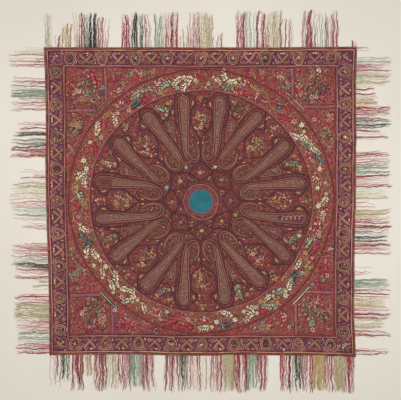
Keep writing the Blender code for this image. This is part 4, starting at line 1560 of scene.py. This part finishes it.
# Threads: each drawn point grows one thread, which sways to its tip and is crimped by its old twist
inputs = {"Thread Radius": "Float", "Crimp": "Float", "Stray": "Float", "Kinks": "Int", "Wool": "Material"}
tree, given, out = geometry_tree("fringe_threads", inputs)
thread = flow(tree, "GeometryNodeCurvePrimitiveLine", {"Start": (0, 0, 0), "End": (1, 0, 0)})
thread = flow(tree, "GeometryNodeResampleCurve", {"Curve": thread, "Count": given["Kinks"]})
sized = flow(tree, "ShaderNodeCombineXYZ", {"X": named(tree, "length"), "Y": 1.0, "Z": 1.0})
threads = {"Points": given["Geometry"], "Instance": thread, "Rotation": drawn_turn(tree), "Scale": sized}
threads = flow(tree, "GeometryNodeInstanceOnPoints", threads)
threads = flow(tree, "GeometryNodeRealizeInstances", {"Geometry": threads})
share = node(tree, "GeometryNodeSplineParameter").outputs["Factor"]
spot = flow(tree, "GeometryNodeInputPosition")
crimp = {"Vector": spot, "W": named(tree, "own"), "Scale": 38.0, "Detail": 1.5}
crimp = waver(tree, "4D", crimp, given["Crimp"])
stray = waver(tree, "3D", {"Vector": spot, "Scale": 11.0, "Detail": 1.0}, given["Stray"])
loose = reckon(tree, "MINIMUM", reckon(tree, "MULTIPLY", share, 3.2), 1.0)
curled = reckon(tree, "ADD", reckon(tree, "MULTIPLY", share, 0.9), 0.7)
loose = reckon(tree, "MULTIPLY", loose, curled)
moved = vector(tree, "SCALE", vector(tree, "ADD", crimp, stray), loose)
sway = vector(tree, "SCALE", named(tree, "sway", "FLOAT_VECTOR"), reckon(tree, "POWER", share, 1.4))
moved = node(tree, "ShaderNodeSeparateXYZ", {"Vector": vector(tree, "ADD", moved, sway)}).outputs
moved = flow(tree, "ShaderNodeCombineXYZ", {"X": moved["X"], "Y": moved["Y"]})
threads = flow(tree, "GeometryNodeSetPosition", {"Geometry": threads, "Offset": moved})
threads = flow(tree, "GeometryNodeSetCurveNormal", {"Curve": threads}, mode="Z_UP")
section = flow(tree, "GeometryNodeCurvePrimitiveCircle", {"Resolution": 3, "Radius": given["Thread Radius"]})
thinner = reckon(tree, "MULTIPLY", reckon(tree, "POWER", share, 3.0), 0.45)
thinner = reckon(tree, "SUBTRACT", 1.0, thinner)
threads = {"Curve": threads, "Profile Curve": section, "Scale": thinner, "Fill Caps": True}
end_tree(tree, given, out, flow(tree, "GeometryNodeCurveToMesh", threads))
fringe_tree = tree

fringe_wool, tree, shader, place = new_material("fringe_wool", 0.6, 0.3)
dye = node(tree, "ShaderNodeAttribute", attribute_name="dye").outputs["Color"]
stitch = use_group(tree, wool_stitch, {"Dye": dye, "Place": place})
dress(tree, shader, stitch["Colour"], stitch["Height"], 0.0002, 0.3)


def strands_of(side, dye, width, fullness):
    """The strands of one block: the share along it, the threads and the part of the length of each."""
    if not fullness:
        return []
    count = max(2, round(width / STRAND_PITCH * fullness * DENSITY[side] * DYE_DENSITY[dye]))
    sizes = chance.choices(STRAND_SIZES, STRAND_WEIGHTS, k=count)
    strands = [((k + draw(0.1, 0.9)) / count, threads, 1.0) for k, threads in enumerate(sizes)]
    # Single threads between the strands, many of them broken off short
    singles = round(width / SINGLE_PITCH * fullness)
    return strands + [(chance.random(), 1, draw(0.1, 0.95)) for _ in range(singles)]


for side_number, side in enumerate(FRINGE_BLOCKS):
    chance.seed(29 + side_number)
    blocks = FRINGE_BLOCKS[side]
    fit = (SIDE / MM - 2 * CORNER_CLEAR) / sum(block[1] for block in blocks)
    # The blocks run from left to right on the top and bottom, and downwards on the other two
    sign = -1 if side in ("bottom", "left") else 1
    turn = math.pi / 2 - side_number * math.pi / 2
    corner = CORNER_CLEAR - SIDE / MM / 2
    roots, lengths, sways, colours, seeds = [], [], [], [], []
    for dye, width, share, fullness in blocks:
        width *= fit
        for spot, threads, part in strands_of(side, dye, width, fullness):
            lean, seed, tone = chance.gauss(0, 5), draw(0, 9), draw(0.85, 1.12)
            # Painted light and shade: the fewer threads a strand has, and the more thinly its side's threads
            # stand, the paler its colour is painted, while full strands keep the deeper, shaded colour
            pale = 1.56 - 0.29 * threads - 0.5 * DENSITY[side] + chance.gauss(0, 0.25)
            full_strand_shaded, single_thread_lit = (np.array(srgb(*colour)[:3]) for colour in FRINGE_DYES_WITH_PAINTED_LIGHT[dye])
            colour = (full_strand_shaded + (single_thread_lit - full_strand_shaded) * min(1.0, max(0.0, pale))) * tone
            strand_length = FRINGE_LENGTH * share * part * (1 - abs(chance.gauss(0, 0.05)))
            if chance.random() < 0.14:
                strand_length *= draw(0.6, 0.95)
            for _ in range(threads):
                length = strand_length * (1 - abs(chance.gauss(0, 0.04)))
                shift = chance.gauss(0, 2.2)
                at = (corner + width * spot + shift) * sign
                root = side_place(side_number, at, SIDE / MM / 2 - 3)
                roots.append((*root, (0.95 + chance.random() * 2.2) * MM))
                lengths.append((max(length, 12) + 3) * MM)
                aside = (lean - 0.8 * shift + chance.gauss(0, 2.6)) * sign * MM
                sways.append((aside * math.sin(turn), -aside * math.cos(turn), 0))
                seeds.append(seed + draw(0, 0.2))
                colours.append([*colour, 1.0])
        corner += width
    mesh = bpy.data.meshes.new(f"fringe_{side}_threads")
    mesh.from_pydata(roots, [], [])
    mark(mesh, "length", lengths)
    mark(mesh, "turn", [turn] * len(roots))
    mark(mesh, "own", seeds)
    mark(mesh, "sway", sways, "FLOAT_VECTOR")
    mark(mesh, "dye", colours, "FLOAT_COLOR")
    piece = new_piece(f"fringe_{side}_threads", mesh)
    values = {"Thread Radius": THREAD_RADIUS * MM, "Crimp": CRIMP, "Stray": STRAY, "Kinks": KINKS + 1}
    grow(piece, fringe_tree, {**values, "Wool": fringe_wool})
    lay(piece, 0.0)
    spots = np.empty(len(piece.data.vertices) * 3)
    piece.data.vertices.foreach_get("co", spots)
    spots = spots.reshape(-1, 3)
    spots[:, :2] = np.clip(spots[:, :2], -TRIM_LINE, TRIM_LINE)
    spots[:, 2] = np.maximum(spots[:, 2], 0.0001)
    piece.data.vertices.foreach_set("co", spots.ravel())
    piece.data.update()
    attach(piece, "root")

# The studio: a pale floor that the shawl lies on, soft light from a window and from above, and a
# camera straight over the shawl
floor_paint, tree, shader, place = new_material("floor_paint", 0.95, 0.0)
cloud = noise(tree, node(tree, "ShaderNodeTexCoord").outputs["Object"], 1.2, 3.0)
tone = ramp(tree, cloud, ((0.3, srgb(228, 222, 210)), (0.7, srgb(234, 229, 218))))
tree.links.new(tone, shader.inputs["Base Color"])
bpy.ops.mesh.primitive_plane_add(size=14)
floor = bpy.context.object
floor.name = "floor"
floor.data.materials.append(floor_paint)

world = bpy.data.worlds.new("studio")
bpy.context.scene.world = world
world.use_nodes = True
world.node_tree.nodes["Background"].inputs["Color"].default_value = (1.0, 0.99, 0.975, 1)
world.node_tree.nodes["Background"].inputs["Strength"].default_value = 0.40
sun = bpy.data.lights.new("window", "SUN")
sun.energy = 0.95
sun.angle = 0.35
window = bpy.data.objects.new("window", sun)
window.rotation_euler = (math.radians(46), 0, math.radians(218))
panel = bpy.data.lights.new("ceiling", "AREA")
panel.energy = 40
panel.shape = "RECTANGLE"
panel.size = 3.4
panel.size_y = 1.0
ceiling = bpy.data.objects.new("ceiling", panel)
ceiling.location = (0, 0.16, 2.6)
for light in (window, ceiling):
    light.data.color = (1.0, 0.985, 0.96)
    bpy.context.scene.collection.objects.link(light)

PICTURE_WIDTH = 2.414  # metres of floor across the picture
LENS = 85
SENSOR = 36
lens = bpy.data.cameras.new("camera")
lens.lens = LENS
lens.sensor_width = SENSOR
camera = bpy.data.objects.new("camera", lens)
camera.location = (-0.002, 0.008, PICTURE_WIDTH * LENS / SENSOR)
bpy.context.scene.collection.objects.link(camera)
bpy.context.scene.camera = camera
bpy.context.scene.view_settings.view_transform = "Standard"
